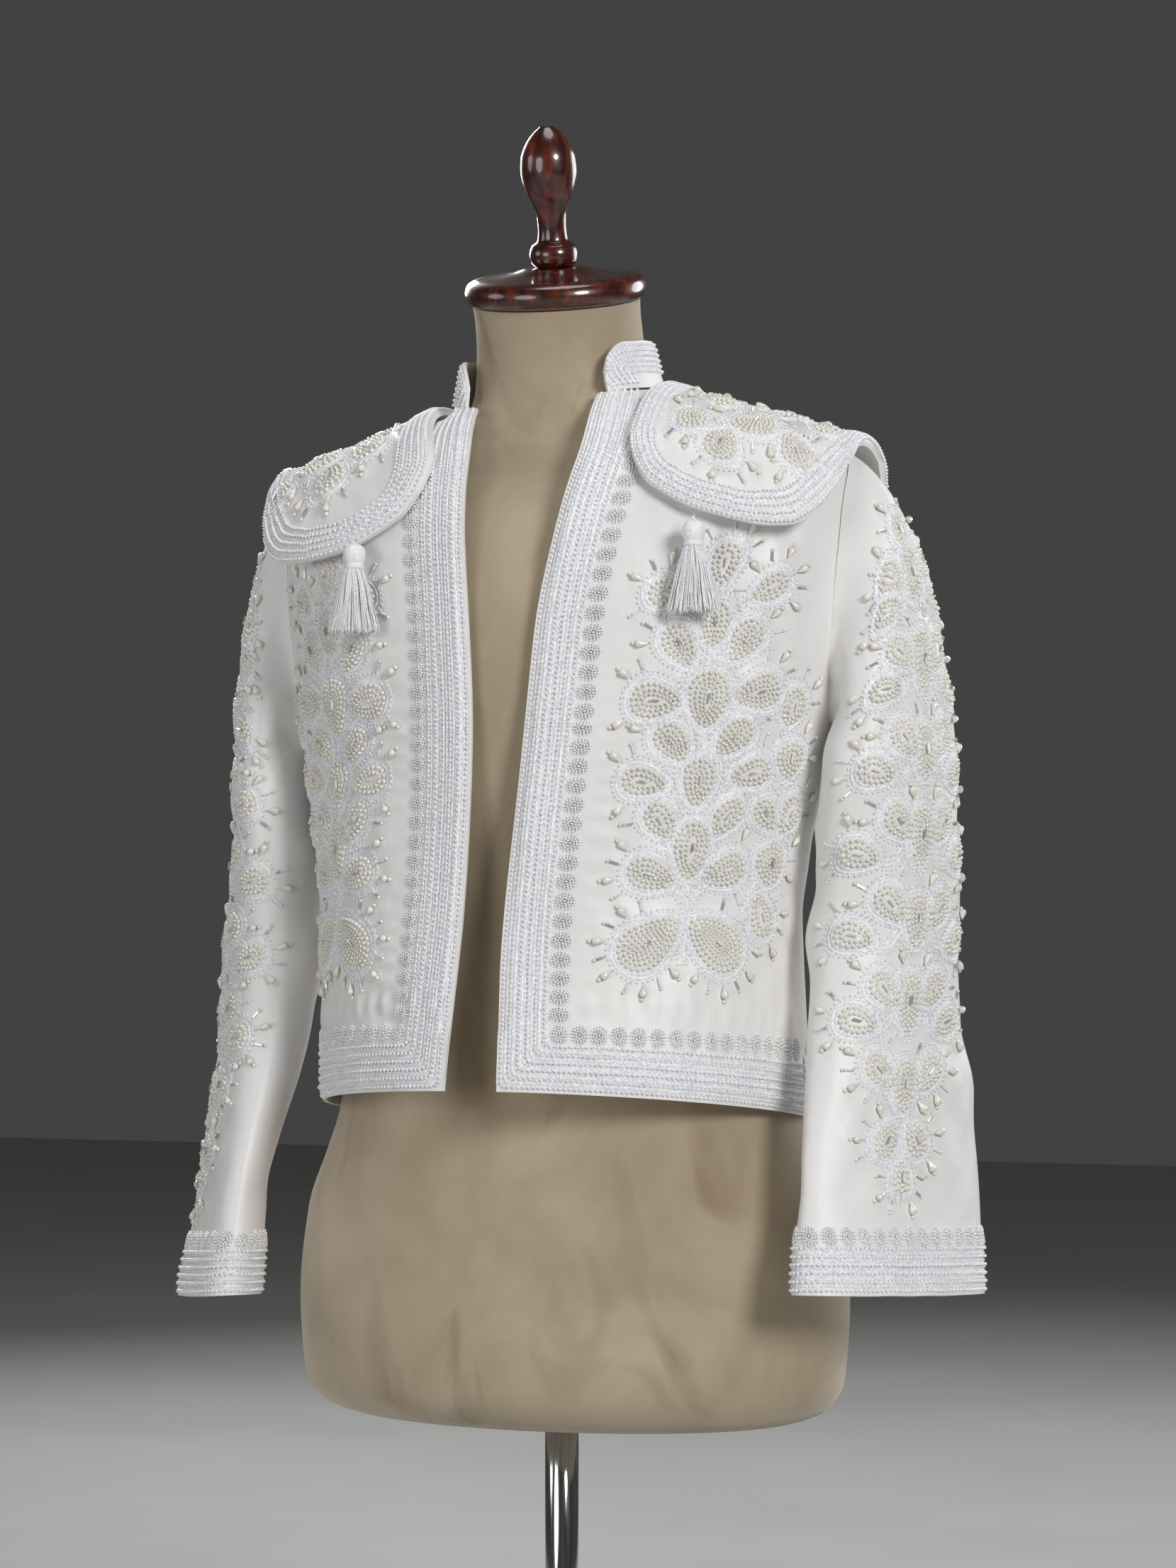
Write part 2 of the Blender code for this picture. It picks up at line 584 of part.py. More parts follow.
def tassel(name, x, y, top):
    """A round head whose underside runs out into separate strands."""
    work = bmesh.new()
    rings = ((0.0030, 0.0), (0.0065, -0.002), (0.0080, -0.007), (0.0068, -0.012), (0.0074, -0.015))
    segments = 12
    loops = []
    turns = [2 * math.pi * k / segments for k in range(segments)]
    for radius, down in rings + ((0.0050, -0.015), (0.0025, -0.015)):
        loops.append([work.verts.new((radius * math.cos(t), radius * math.sin(t), down)) for t in turns])
    middle = work.verts.new((0, 0, -0.015))
    roots = []
    for i in range(len(loops) - 1):
        for k in range(segments):
            n = (k + 1) % segments
            face = work.faces.new((loops[i][k], loops[i + 1][k], loops[i + 1][n], loops[i][n]))
            if i >= 4:
                roots.append(face)
    work.faces.new(loops[0])
    for k in range(segments):
        work.faces.new((loops[-1][k], middle, loops[-1][(k + 1) % segments]))
    bmesh.ops.recalc_face_normals(work, faces=work.faces)
    bmesh.ops.inset_individual(work, faces=roots, thickness=0.00035)
    grown = bmesh.ops.extrude_discrete_faces(work, faces=roots)["faces"]
    for index, face in enumerate(grown):
        centre = face.calc_center_median()
        length = TASSEL_LENGTH - 0.015 + 0.0025 * math.sin(index * 2.4)
        outward = Vector((centre.x, centre.y * 0.5, 0)) * (TASSEL_SPREAD - 1 + 0.15 * math.sin(index * 1.7))
        for vert in face.verts:
            vert.co = vert.co + outward + Vector((0, 0, -length))
    bmesh.ops.recalc_face_normals(work, faces=work.faces)
    mesh = bpy.data.meshes.new(name)
    work.to_mesh(mesh)
    work.free()
    mesh.transform(Matrix.Translation((x, y, top)))
    mesh.materials.append(material("tassel silk"))
    obj = bpy.data.objects.new(name, mesh)
    bpy.context.scene.collection.objects.link(obj)
    return obj


def neckRing(row, segments):
    z, a, b, y, tip, side = row
    turn = Matrix.Rotation(math.radians(tip), 3, "X") @ Matrix.Rotation(math.radians(side), 3, "Y")
    ring = []
    for k in range(segments):
        t = 2 * math.pi * k / segments
        ring.append(turn @ Vector((a * math.sin(t), -b * math.cos(t), 0)) + Vector((0, y, z)))
    return [tuple(p) for p in ring]


def form(name):
    """The limbless form: hips, waist, chest, sloping shoulders and a tipped neck."""
    segments = 36
    turns = np.arange(segments) * 2 * math.pi / segments
    rings = []
    for z, a, f, b, y in HIPS:
        depth = np.where(np.cos(turns) > 0, f, b)
        ring = np.stack([a * np.sin(turns), y - depth * np.cos(turns), np.full(segments, z)], axis=-1)
        rings.append(ring)
    for z in (0.50, 0.53, 0.565, 0.60, 0.63, 0.66, 0.70, 0.74, 0.785, 0.82, 0.86, 0.89, 0.915, 0.935, 0.95,
              0.962, 0.973, 0.985, 0.993, 1.001, 1.008, 1.014, 1.020, 1.030, 1.045):
        rings.append(bodyPoint(np.full(segments, z), turns, (1, 2, 3)))
    for row in NECK:
        rings.append(np.array(neckRing(row, segments)))
    points = settle(np.concatenate(rings))
    return toObject(name, points, closedRings(len(rings), segments), "beige suede")


def buildStand():
    floor = (
        (BASE_RADIUS - 0.004, 0.0), (BASE_RADIUS, 0.003), (BASE_RADIUS, 0.009),
        (BASE_RADIUS - 0.008, BASE_HEIGHT - 0.002), (0.050, BASE_HEIGHT + 0.003), (0.022, 0.032),
        (0.018, 0.045),
    )
    lathe("base", floor, 40, "dark painted iron")
    lathe("pole", ((POLE_RADIUS, 0.045 + GAP), (POLE_RADIUS, HIPS[0][0] - GAP)), 24, "polished steel")
    form("form_torso")
    top = settle(np.array(neckRing(NECK[-1], 4)))
    upward = Vector(np.cross(top[1] - top[3], top[2] - top[0])).normalized()
    turn = Vector((0, 0, 1)).rotation_difference(upward).to_matrix().to_4x4()
    place = Matrix.Translation(Vector(top.mean(axis=0))) @ turn
    lathe("neck_cap", CAP_PROFILE, 32, "mahogany", place @ Matrix.Translation((0, 0, GAP)))
    rise = CAP_PROFILE[-1][1] + 2 * GAP
    lathe("finial", FINIAL_PROFILE, 24, "mahogany", place @ Matrix.Translation((0, 0, rise)))


def buildJacket():
    front("front_left", 1)
    front("front_right", -1)
    back("back")
    collar("collar")
    sleeve("sleeve_left", 1)
    sleeve("sleeve_right", -1)
    epaulette("epaulette_left", 1)
    epaulette("epaulette_right", -1)
    for side, (x, y, top) in TASSELS.items():
        tassel("tassel_" + side, x, y, top)


clearScene()
buildStand()
buildJacket()
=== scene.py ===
import math
import time

import bmesh
import bpy
import numpy as np
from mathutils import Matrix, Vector


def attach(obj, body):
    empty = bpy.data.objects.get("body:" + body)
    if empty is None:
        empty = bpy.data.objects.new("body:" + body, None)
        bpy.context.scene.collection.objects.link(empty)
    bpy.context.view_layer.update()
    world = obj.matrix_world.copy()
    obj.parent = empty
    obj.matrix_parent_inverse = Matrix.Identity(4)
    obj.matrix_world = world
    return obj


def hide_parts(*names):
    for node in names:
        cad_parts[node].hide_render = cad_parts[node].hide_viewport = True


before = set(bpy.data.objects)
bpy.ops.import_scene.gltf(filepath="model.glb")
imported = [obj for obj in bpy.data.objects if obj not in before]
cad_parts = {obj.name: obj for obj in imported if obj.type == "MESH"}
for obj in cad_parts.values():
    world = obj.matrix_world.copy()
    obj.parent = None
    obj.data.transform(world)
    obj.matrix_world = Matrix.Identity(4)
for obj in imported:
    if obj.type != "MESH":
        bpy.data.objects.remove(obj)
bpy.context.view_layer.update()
startTime = time.time()
scene = bpy.context.scene


def stage(text):
    print(f"[{time.time() - startTime:5.1f} s] {text}")


# z, form half width, form front, form back, centre y, cloth half width, cloth front, cloth back
levels = (
    (0.500, 0.1740, 0.120, 0.128, 0.006, 0.1770, 0.168, 0.133),
    (0.530, 0.1640, 0.116, 0.121, 0.005, 0.1680, 0.164, 0.127),
    (0.600, 0.1570, 0.110, 0.108, 0.002, 0.1680, 0.150, 0.117),
    (0.660, 0.1530, 0.107, 0.102, 0.000, 0.1680, 0.139, 0.112),
    (0.700, 0.1570, 0.109, 0.103, 0.000, 0.1720, 0.134, 0.112),
    (0.740, 0.1650, 0.114, 0.107, 0.000, 0.1790, 0.131, 0.115),
    (0.785, 0.1760, 0.119, 0.112, 0.000, 0.1880, 0.129, 0.118),
    (0.820, 0.1830, 0.121, 0.115, 0.000, 0.1950, 0.128, 0.120),
    (0.860, 0.1870, 0.120, 0.117, 0.000, 0.2010, 0.127, 0.121),
    (0.910, 0.1880, 0.109, 0.113, 0.000, 0.2045, 0.122, 0.117),
    (0.945, 0.1860, 0.091, 0.103, 0.000, 0.2040, 0.112, 0.108),
    (0.965, 0.1680, 0.076, 0.091, 0.000, 0.1985, 0.102, 0.098),
    (0.985, 0.1440, 0.066, 0.081, 0.000, 0.1535, 0.090, 0.088),
    (1.000, 0.1110, 0.061, 0.075, 0.000, 0.1155, 0.078, 0.080),
    (1.012, 0.0800, 0.0565, 0.068, 0.000, 0.0835, 0.067, 0.073),
    (1.020, 0.0665, 0.056, 0.064, 0.000, 0.0695, 0.062, 0.069),
    (1.030, 0.0615, 0.056, 0.061, 0.000, 0.0660, 0.059, 0.066),
    (1.045, 0.0595, 0.056, 0.058, -0.001, 0.0650, 0.058, 0.064),
)
hips = (  # z, half width, front, back, centre y
    (0.320, 0.160, 0.098, 0.108, 0.010), (0.326, 0.178, 0.113, 0.123, 0.010),
    (0.345, 0.192, 0.126, 0.136, 0.010), (0.400, 0.196, 0.130, 0.140, 0.010),
    (0.460, 0.189, 0.126, 0.136, 0.008), (0.500, 0.1740, 0.120, 0.128, 0.006),
)
neckRings = (  # z, radius across, radius front to back, centre y, forward tip, side tip
    (1.060, 0.0580, 0.0560, -0.004, 6.0, 1.2),
    (1.075, 0.0575, 0.0560, -0.008, 11.0, 2.8),
    (1.086, 0.0580, 0.0565, -0.011, 15.8, 4.3),
)
frontGap = (  # z, distance of the left and the right front edge from the middle
    (0.500, 0.0100, 0.0280), (0.550, 0.0105, 0.0265), (0.660, 0.0110, 0.0180),
    (0.770, 0.0155, 0.0200), (0.850, 0.0225, 0.0240), (0.927, 0.0360, 0.0315),
    (0.980, 0.0440, 0.0370), (1.012, 0.0450, 0.0410), (1.045, 0.0470, 0.0440),
)
lean, sway, hipShift, rightNeckDrop = 0.036, 0.006, 0.003, 0.070
wall = 0.0020
hemSide, hemFrontRise, hemBackRise = 0.527, 0.021, 0.003
neckSide, neckFrontDip, neckBackRise = 1.020, 0.010, 0.010
armMiddle, armHalf, armFront, armBack = 0.8735, 0.0885, 0.027, 0.054
sleeveTable = (  # z, centre x, centre y, half long axis, half short axis, turn
    (0.755, 0.2285, 0.010, 0.062, 0.0330, 75.0),
    (0.650, 0.2260, 0.017, 0.060, 0.0360, 65.0),
    (0.560, 0.2310, 0.002, 0.069, 0.0270, 63.0),
    (0.490, 0.2380, -0.018, 0.078, 0.0215, 62.0),
    (0.405, 0.2440, -0.036, 0.081, 0.0250, 60.0),
)
epauletteLevels = (  # z, half width, front depth, back depth, of the inner side
    (1.0186, 0.0785, 0.0676, 0.0742), (1.0042, 0.1200, 0.0794, 0.0824),
    (0.9895, 0.1600, 0.0910, 0.0902), (0.9790, 0.1900, 0.0986, 0.0956),
    (0.9735, 0.2050, 0.1022, 0.0984), (0.9705, 0.2125, 0.1040, 0.1000),
    (0.9630, 0.2215, 0.1086, 0.1042), (0.9510, 0.2300, 0.1143, 0.1100),
    (0.9370, 0.2380, 0.1193, 0.1150), (0.9200, 0.2460, 0.1240, 0.1194),
    (0.9050, 0.2480, 0.1268, 0.1222),
)
epauletteFall = (
    (0.0785, 0.040), (0.0850, 0.056), (0.0970, 0.070), (0.1300, 0.0785), (0.1600, 0.077),
    (0.1850, 0.070), (0.1990, 0.056), (0.2075, 0.035), (0.2112, 0.018), (0.2125, 0.008),
)


def smoothRead(table, column, at):
    rows = np.array([(r[0], r[column]) for r in table], float)
    rows = rows[np.argsort(rows[:, 0])]
    xs, ys = rows[:, 0], rows[:, 1]
    steps = np.diff(ys) / np.diff(xs)
    same = steps[:-1] * steps[1:] > 0
    mid = np.where(same, 2 * steps[:-1] * steps[1:] / np.where(same, steps[:-1] + steps[1:], 1), 0)
    slopes = np.concatenate([steps[:1], mid, steps[-1:]])
    at = np.clip(np.asarray(at, float), xs[0], xs[-1])
    k = np.clip(np.searchsorted(xs, at) - 1, 0, len(xs) - 2)
    h = xs[k + 1] - xs[k]
    t = (at - xs[k]) / h
    return ((2 * t**3 - 3 * t**2 + 1) * ys[k] + (t**3 - 2 * t**2 + t) * h * slopes[k]
            + (3 * t**2 - 2 * t**3) * ys[k + 1] + (t**3 - t**2) * h * slopes[k + 1])


def ease(t):
    t = np.clip(t, 0.0, 1.0)
    return t * t * (3 - 2 * t)


def settle(points):  # the slight lean of the form, which the cloth shares
    points = np.array(points, float)
    x, z = points[..., 0].copy(), points[..., 2].copy()
    atNeck = ease((z - 0.98) / 0.03) * (1 - ease((z - 1.052) / 0.012))
    points[..., 2] += lean * x * ease((z - 0.56) / 0.20) + rightNeckDrop * np.clip(x, -0.07, 0) * atNeck
    points[..., 0] += sway * ease((z - 0.62) / 0.20) * (1 - ease((z - 0.97) / 0.07))
    points[..., 0] += hipShift * (1 - ease((z - 0.53) / 0.12))
    return points


def settleSleeve(points, side):
    points = np.array(points, float)
    x, z = points[..., 0].copy(), points[..., 2].copy()
    points[..., 2] += lean * points[..., 0]
    points[..., 0] += sway * ease((z - 0.62) / 0.20) * (1 - ease((z - 0.97) / 0.07))
    if side < 0:
        points[..., 0] += 0.003 * ease((0.80 - z) / 0.10) * ease((z - 0.62) / 0.10)
        flat = ease((z - 0.60) / 0.14) * (1 - ease((z - 0.90) / 0.05))
        points[..., 0] += 0.009 * ease((-x - 0.205) / 0.05) * flat
    return points


def bodyPoint(z, angle, columns=(5, 6, 7)):
    across = smoothRead(levels, columns[0], z) * np.sin(angle)
    front, back = smoothRead(levels, columns[1], z), smoothRead(levels, columns[2], z)
    y = smoothRead(levels, 4, z) - np.where(np.cos(angle) > 0, front, back) * np.cos(angle)
    return np.stack([across, y, z + 0 * across], axis=-1)


def bodyNormal(z, angle):
    step = 1e-4
    up = bodyPoint(z + step, angle) - bodyPoint(z - step, angle)
    turn = bodyPoint(z, angle + step) - bodyPoint(z, angle - step)
    out = np.cross(turn, up)
    return out / np.linalg.norm(out, axis=-1, keepdims=True)


def hemZ(angle):
    return hemSide + np.where(np.cos(angle) > 0, hemFrontRise, -hemBackRise) * np.cos(angle)


def neckZ(angle):
    return neckSide - np.where(np.cos(angle) > 0, neckFrontDip, neckBackRise) * np.cos(angle)


def armholeAngle(z, column):
    up = np.clip((z - armMiddle) / armHalf, -1, 1)
    wide = armFront if column == 6 else armBack
    return np.arccos((wide * np.sqrt(1 - up**2) + 0.00015) / smoothRead(levels, column, z))


def levelled(rows, angle):
    low = (hemZ(angle) - hemSide) * (1 - ease((rows - hemSide) / 0.12))
    high = (neckZ(angle) - neckSide) * ease((rows - 0.95) / (neckSide - 0.95))
    return rows + low + high


def rowHeights(below, beside, above):
    low, high = armMiddle - armHalf, armMiddle + armHalf
    return np.concatenate([
        np.linspace(hemSide, low, below)[:-1],
        armMiddle - armHalf * np.cos(np.linspace(0, math.pi, beside)),
        np.linspace(high, neckSide, above)[1:],
    ])


def normalsOf(grid, closed=False):
    along = np.gradient(grid, axis=0)
    if closed:
        turn = np.roll(grid, -1, axis=1) - np.roll(grid, 1, axis=1)
    else:
        turn = np.gradient(grid, axis=1)
    out = np.cross(turn, along)
    return out / np.maximum(np.linalg.norm(out, axis=-1, keepdims=True), 1e-12)


def ripple(a, b, seed):  # soft uneven noise from a few waves, -1 to 1
    rng = np.random.default_rng(seed)
    total = np.zeros(np.broadcast(a, b).shape)
    for _ in range(7):
        u, v, w = rng.uniform(0.3, 1.0), rng.uniform(0.3, 1.0), rng.uniform(0, 6.3)
        u *= rng.choice((-1, 1))
        total = total + np.sin(a * u + b * v + w + 0.8 * np.sin(b * u * 0.6 + w))
    return total / 4.2


def toPiece(name, points, faces, material, replaced=(), smooth=True):
    mesh = bpy.data.meshes.new(name)
    points = np.asarray(points, np.float32)
    if isinstance(faces, np.ndarray):
        count, sides = faces.shape
        mesh.vertices.add(len(points))
        mesh.vertices.foreach_set("co", points.ravel())
        mesh.loops.add(count * sides)
        mesh.loops.foreach_set("vertex_index", faces.astype(np.int32).ravel())
        mesh.polygons.add(count)
        mesh.polygons.foreach_set("loop_start", np.arange(count, dtype=np.int32) * sides)
        mesh.update(calc_edges=True)
    else:
        mesh.from_pydata([tuple(p) for p in points.tolist()], [], faces)
    mesh.validate()
    if smooth:
        mesh.shade_smooth()
        mesh.set_sharp_from_angle(angle=math.radians(55))
    mesh.materials.append(material)
    obj = bpy.data.objects.new(name, mesh)
    scene.collection.objects.link(obj)
    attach(obj, "root")
    if replaced:
        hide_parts(*replaced)
    return obj


def shellFaces(rows, columns, closed):
    i, j = np.meshgrid(np.arange(rows - 1), np.arange(columns if closed else columns - 1), indexing="ij")
    k = (j + 1) % columns
    corners = [i * columns + j, i * columns + k, (i + 1) * columns + k, (i + 1) * columns + j]
    skin = np.stack(corners, -1).reshape(-1, 4)
    return skin


def shell(name, outer, inner, closed, material, replaced):
    rows, columns = outer.shape[:2]
    skin = shellFaces(rows, columns, closed)
    start = rows * columns
    rims = []
    ends = np.arange(columns if closed else columns - 1)
    nexts = (ends + 1) % columns
    for row in (0, rows - 1):
        a, b = row * columns + ends, row * columns + nexts
        rims.append(np.stack([a, b, b + start, a + start][:: 1 if row else -1], -1))
    if not closed:
        sides = np.arange(rows - 1)
        for column in (0, columns - 1):
            a, b = sides * columns + column, (sides + 1) * columns + column
            rims.append(np.stack([a, b, b + start, a + start][:: -1 if column else 1], -1))
    faces = np.concatenate([skin, skin[:, ::-1] + start] + rims)
    points = np.concatenate([outer.reshape(-1, 3), inner.reshape(-1, 3)])
    piece = toPiece(name, points, faces, material, replaced)
    body = bmesh.new()
    body.from_mesh(piece.data)
    bmesh.ops.recalc_face_normals(body, faces=body.faces)
    body.to_mesh(piece.data)
    body.free()
    return piece


def lathe(name, profile, sides, material, place, replaced=()):
    profile = np.array(profile, float)
    turns = np.arange(sides) * 2 * math.pi / sides
    grid = np.stack([
        profile[:, :1] * np.cos(turns), profile[:, :1] * np.sin(turns),
        np.repeat(profile[:, 1:], sides, axis=1)
    ], axis=-1)
    faces = [tuple(f) for f in shellFaces(len(profile), sides, True).tolist()]
    faces.append(tuple(range(sides))[::-1])
    faces.append(tuple((len(profile) - 1) * sides + k for k in range(sides)))
    points = grid.reshape(-1, 3)
    if place is not None:
        turn, at = place
        points = points @ turn.T + at
    return toPiece(name, points, faces, material, replaced)


def smoothProfile(profile, steps):  # a rounded line through a turned piece's points
    profile = np.array(profile, float)
    at = np.linspace(0, len(profile) - 1, steps)
    table = [(float(i), p[0], p[1]) for i, p in enumerate(profile)]
    return np.stack([smoothRead(table, 1, at), smoothRead(table, 2, at)], axis=-1)


def rgb(code):  # sRGB hex to linear
    parts = [int(code[i:i + 2], 16) / 255 for i in (0, 2, 4)]
    return tuple(p / 12.92 if p <= 0.04045 else ((p + 0.055) / 1.055) ** 2.4 for p in parts) + (1.0,)


def newMaterial(name, **settings):
    material = bpy.data.materials.new(name)
    material.use_nodes = True
    shader = material.node_tree.nodes["Principled BSDF"]
    for key, value in settings.items():
        socket = {"colour": "Base Color", "roughness": "Roughness", "metallic": "Metallic", "ior": "IOR",
                  "sheen": "Sheen Weight", "sheenRoughness": "Sheen Roughness", "coat": "Coat Weight",
                  "coatRoughness": "Coat Roughness", "transmission": "Transmission Weight",
                  "subsurface": "Subsurface Weight", "subsurfaceScale": "Subsurface Scale",
                  "specular": "Specular IOR Level"}[key]
        shader.inputs[socket].default_value = rgb(value) if key == "colour" else value
    return material, shader


def add(material, kind, links=None, **settings):  # one node, its settings and what feeds it
    tree = material.node_tree
    node = tree.nodes.new(kind)
    for key, value in settings.items():
        if key.startswith("in_"):
            node.inputs[key[3:].replace("_", " ")].default_value = value
        else:
            setattr(node, key, value)
    for socket, source in (links or {}).items():
        tree.links.new(source, node.inputs[socket])
    return node


def ramp(material, source, stops):
    node = add(material, "ShaderNodeValToRGB", {"Fac": source})
    elements = node.color_ramp.elements
    while len(elements) < len(stops):
        elements.new(0.5)
    for element, (at, colour) in zip(elements, stops):
        element.position = at
        element.color = rgb(colour) if isinstance(colour, str) else (colour, colour, colour, 1)
    return node


def link(material, source, shader, socket):
    material.node_tree.links.new(source, shader.inputs[socket])


def satinMaterial():
    # duchesse satin: a smooth filling-faced weave that gives broad soft highlights
    material, shader = newMaterial("duchesse satin, white", roughness=0.42, ior=1.5, sheen=0.25,
                                   sheenRoughness=0.4)
    place = add(material, "ShaderNodeTexCoord").outputs["Object"]
    tone = add(material, "ShaderNodeTexNoise", {"Vector": place}, in_Scale=9.0, in_Detail=3.0)
    colour = ramp(material, tone.outputs["Fac"], ((0.3, "E9E7E6"), (0.7, "F1EFED")))
    link(material, colour.outputs["Color"], shader, "Base Color")
    # floats about 0.5 mm apart and a little slub
    warp = add(material, "ShaderNodeMapping", {"Vector": place}, in_Scale=(1.0, 1.0, 0.35))
    weave = add(material, "ShaderNodeTexNoise", {"Vector": warp.outputs["Vector"]}, in_Scale=1500.0,
                in_Detail=2.0)
    slub = add(material, "ShaderNodeTexNoise", {"Vector": place}, in_Scale=52.0, in_Detail=3.0)
    fine = add(material, "ShaderNodeBump", {"Height": weave.outputs["Fac"]}, in_Strength=0.10,
               in_Distance=0.0004)
    both = add(material, "ShaderNodeBump", {"Height": slub.outputs["Fac"], "Normal": fine.outputs["Normal"]},
               in_Strength=0.30, in_Distance=0.0035)
    link(material, both.outputs["Normal"], shader, "Normal")
    rough = ramp(material, tone.outputs["Fac"], ((0.2, 0.38), (0.8, 0.50)))
    link(material, rough.outputs["Color"], shader, "Roughness")
    return material


def braidMaterial(name, low, high):
    # rayon chain stitch: bright twisted thread, so the light breaks up at each stitch
    material, shader = newMaterial(name, roughness=0.5, sheen=0.3, sheenRoughness=0.35)
    place = add(material, "ShaderNodeTexCoord").outputs["Object"]
    tone = add(material, "ShaderNodeTexNoise", {"Vector": place}, in_Scale=620.0, in_Detail=2.0)
    colour = ramp(material, tone.outputs["Fac"], ((0.38, low), (0.58, high)))
    link(material, colour.outputs["Color"], shader, "Base Color")
    # 1 mm loops
    thread = add(material, "ShaderNodeTexNoise", {"Vector": place}, in_Scale=1100.0, in_Detail=1.0)
    bump = add(material, "ShaderNodeBump", {"Height": thread.outputs["Fac"]}, in_Strength=0.6,
               in_Distance=0.0008)
    link(material, bump.outputs["Normal"], shader, "Normal")
    return material


def pearlMaterial():
    # glass pearl: a lustre coat over an ivory core; the colour darkens towards the rims as they turn from
    # view, which is painted shade
    material, shader = newMaterial("glass pearl, ivory", roughness=0.20, ior=1.55, coat=0.9,
                                   coatRoughness=0.08,
                                   specular=0.6)
    place = add(material, "ShaderNodeTexCoord").outputs["Object"]
    tone = add(material, "ShaderNodeTexNoise", {"Vector": place}, in_Scale=120.0, in_Detail=2.0)
    # painted shade: the facing weight mixes a darker ivory (CCC9BB) into each pearl's rim
    facing = add(material, "ShaderNodeLayerWeight", in_Blend=0.35)
    body = ramp(material, tone.outputs["Fac"], ((0.3, "E9E6DA"), (0.7, "F6F4ED")))
    edge = add(material, "ShaderNodeMix", data_type="RGBA")
    edge.inputs[7].default_value = rgb("CCC9BB")
    material.node_tree.links.new(facing.outputs["Facing"], edge.inputs[0])
    material.node_tree.links.new(body.outputs["Color"], edge.inputs[6])
    link(material, edge.outputs[2], shader, "Base Color")
    haze = ramp(material, tone.outputs["Fac"], ((0.2, 0.18), (0.8, 0.30)))
    link(material, haze.outputs["Color"], shader, "Roughness")
    return material


def seedMaterial():
    # rocaille glass with a silver lining: bright sparks and greyer shadows
    material, shader = newMaterial("silver-lined rocaille glass", roughness=0.3, ior=1.5, coat=0.3,
                                   coatRoughness=0.1)
    place = add(material, "ShaderNodeTexCoord").outputs["Object"]
    tone = add(material, "ShaderNodeTexNoise", {"Vector": place}, in_Scale=500.0, in_Detail=1.0)
    colour = ramp(material, tone.outputs["Fac"], ((0.35, "E6E7EC"), (0.65, "FCFCFF")))
    link(material, colour.outputs["Color"], shader, "Base Color")
    rough = ramp(material, tone.outputs["Fac"], ((0.3, 0.18), (0.7, 0.42)))
    link(material, rough.outputs["Color"], shader, "Roughness")
    return material


def bugleMaterial():
    # clear bugle glass tube, cut ends, silver inside; its grey-to-white colour from bead to bead is painted
    # reflection
    material, shader = newMaterial("clear bugle glass", roughness=0.08, ior=1.52, metallic=0.1, coat=0.6)
    place = add(material, "ShaderNodeTexCoord").outputs["Object"]
    tone = add(material, "ShaderNodeTexNoise", {"Vector": place}, in_Scale=95.0, in_Detail=1.0)
    # painted reflection: grey or white patches stand in for bugles mirroring dark or bright surroundings
    colour = ramp(material, tone.outputs["Fac"], ((0.42, "A9AAB0"), (0.56, "F4F4F8")))
    link(material, colour.outputs["Color"], shader, "Base Color")
    return material


def suedeMaterial():
    # microsuede cover: matte nap, lighter or darker where it has been brushed
    material, shader = newMaterial("brushed microsuede, beige", roughness=0.9, sheen=0.35, sheenRoughness=0.6)
    place = add(material, "ShaderNodeTexCoord").outputs["Object"]
    cloud = add(material, "ShaderNodeTexNoise", {"Vector": place}, in_Scale=9.0, in_Detail=7.0,
                in_Distortion=0.5)
    marks = add(material, "ShaderNodeMapping", {"Vector": place}, in_Scale=(11.0, 11.0, 5.0),
                in_Rotation=(0.0, 0.35, 0.0))
    strokes = add(material, "ShaderNodeTexNoise", {"Vector": marks.outputs["Vector"]}, in_Scale=1.0,
                  in_Detail=3.0,
                  in_Distortion=1.6)
    ground = ramp(material, cloud.outputs["Fac"], ((0.34, "A29177"), (0.66, "BFAE94")))
    cover = ramp(material, strokes.outputs["Fac"], ((0.58, 0.0), (0.72, 0.6)))
    mixed = add(material, "ShaderNodeMix", data_type="RGBA")
    material.node_tree.links.new(cover.outputs["Color"], mixed.inputs[0])
    material.node_tree.links.new(ground.outputs["Color"], mixed.inputs[6])
    mixed.inputs[7].default_value = rgb("846F52")
    link(material, mixed.outputs[2], shader, "Base Color")
    # 0.5 mm fibres
    nap = add(material, "ShaderNodeTexNoise", {"Vector": place}, in_Scale=1800.0, in_Detail=3.0)
    bump = add(material, "ShaderNodeBump", {"Height": nap.outputs["Fac"]}, in_Strength=0.25,
               in_Distance=0.0006)
    link(material, bump.outputs["Normal"], shader, "Normal")
    return material


def woodMaterial():
    # polished mahogany: close dark grain under clear lacquer
    material, shader = newMaterial("lacquered mahogany", roughness=0.3, ior=1.5, coat=0.9, coatRoughness=0.06)
    place = add(material, "ShaderNodeTexCoord").outputs["Object"]
    along = add(material, "ShaderNodeMapping", {"Vector": place}, in_Scale=(1.0, 1.0, 0.16))
    grain = add(material, "ShaderNodeTexNoise", {"Vector": along.outputs["Vector"]}, in_Scale=170.0,
                in_Detail=6.0,
                in_Distortion=0.7)
    colour = ramp(material, grain.outputs["Fac"], ((0.32, "1E0703"), (0.5, "43140A"), (0.72, "6E2A14")))
    link(material, colour.outputs["Color"], shader, "Base Color")
    bump = add(material, "ShaderNodeBump", {"Height": grain.outputs["Fac"]}, in_Strength=0.05,
               in_Distance=0.0005)
    link(material, bump.outputs["Normal"], shader, "Normal")
    return material


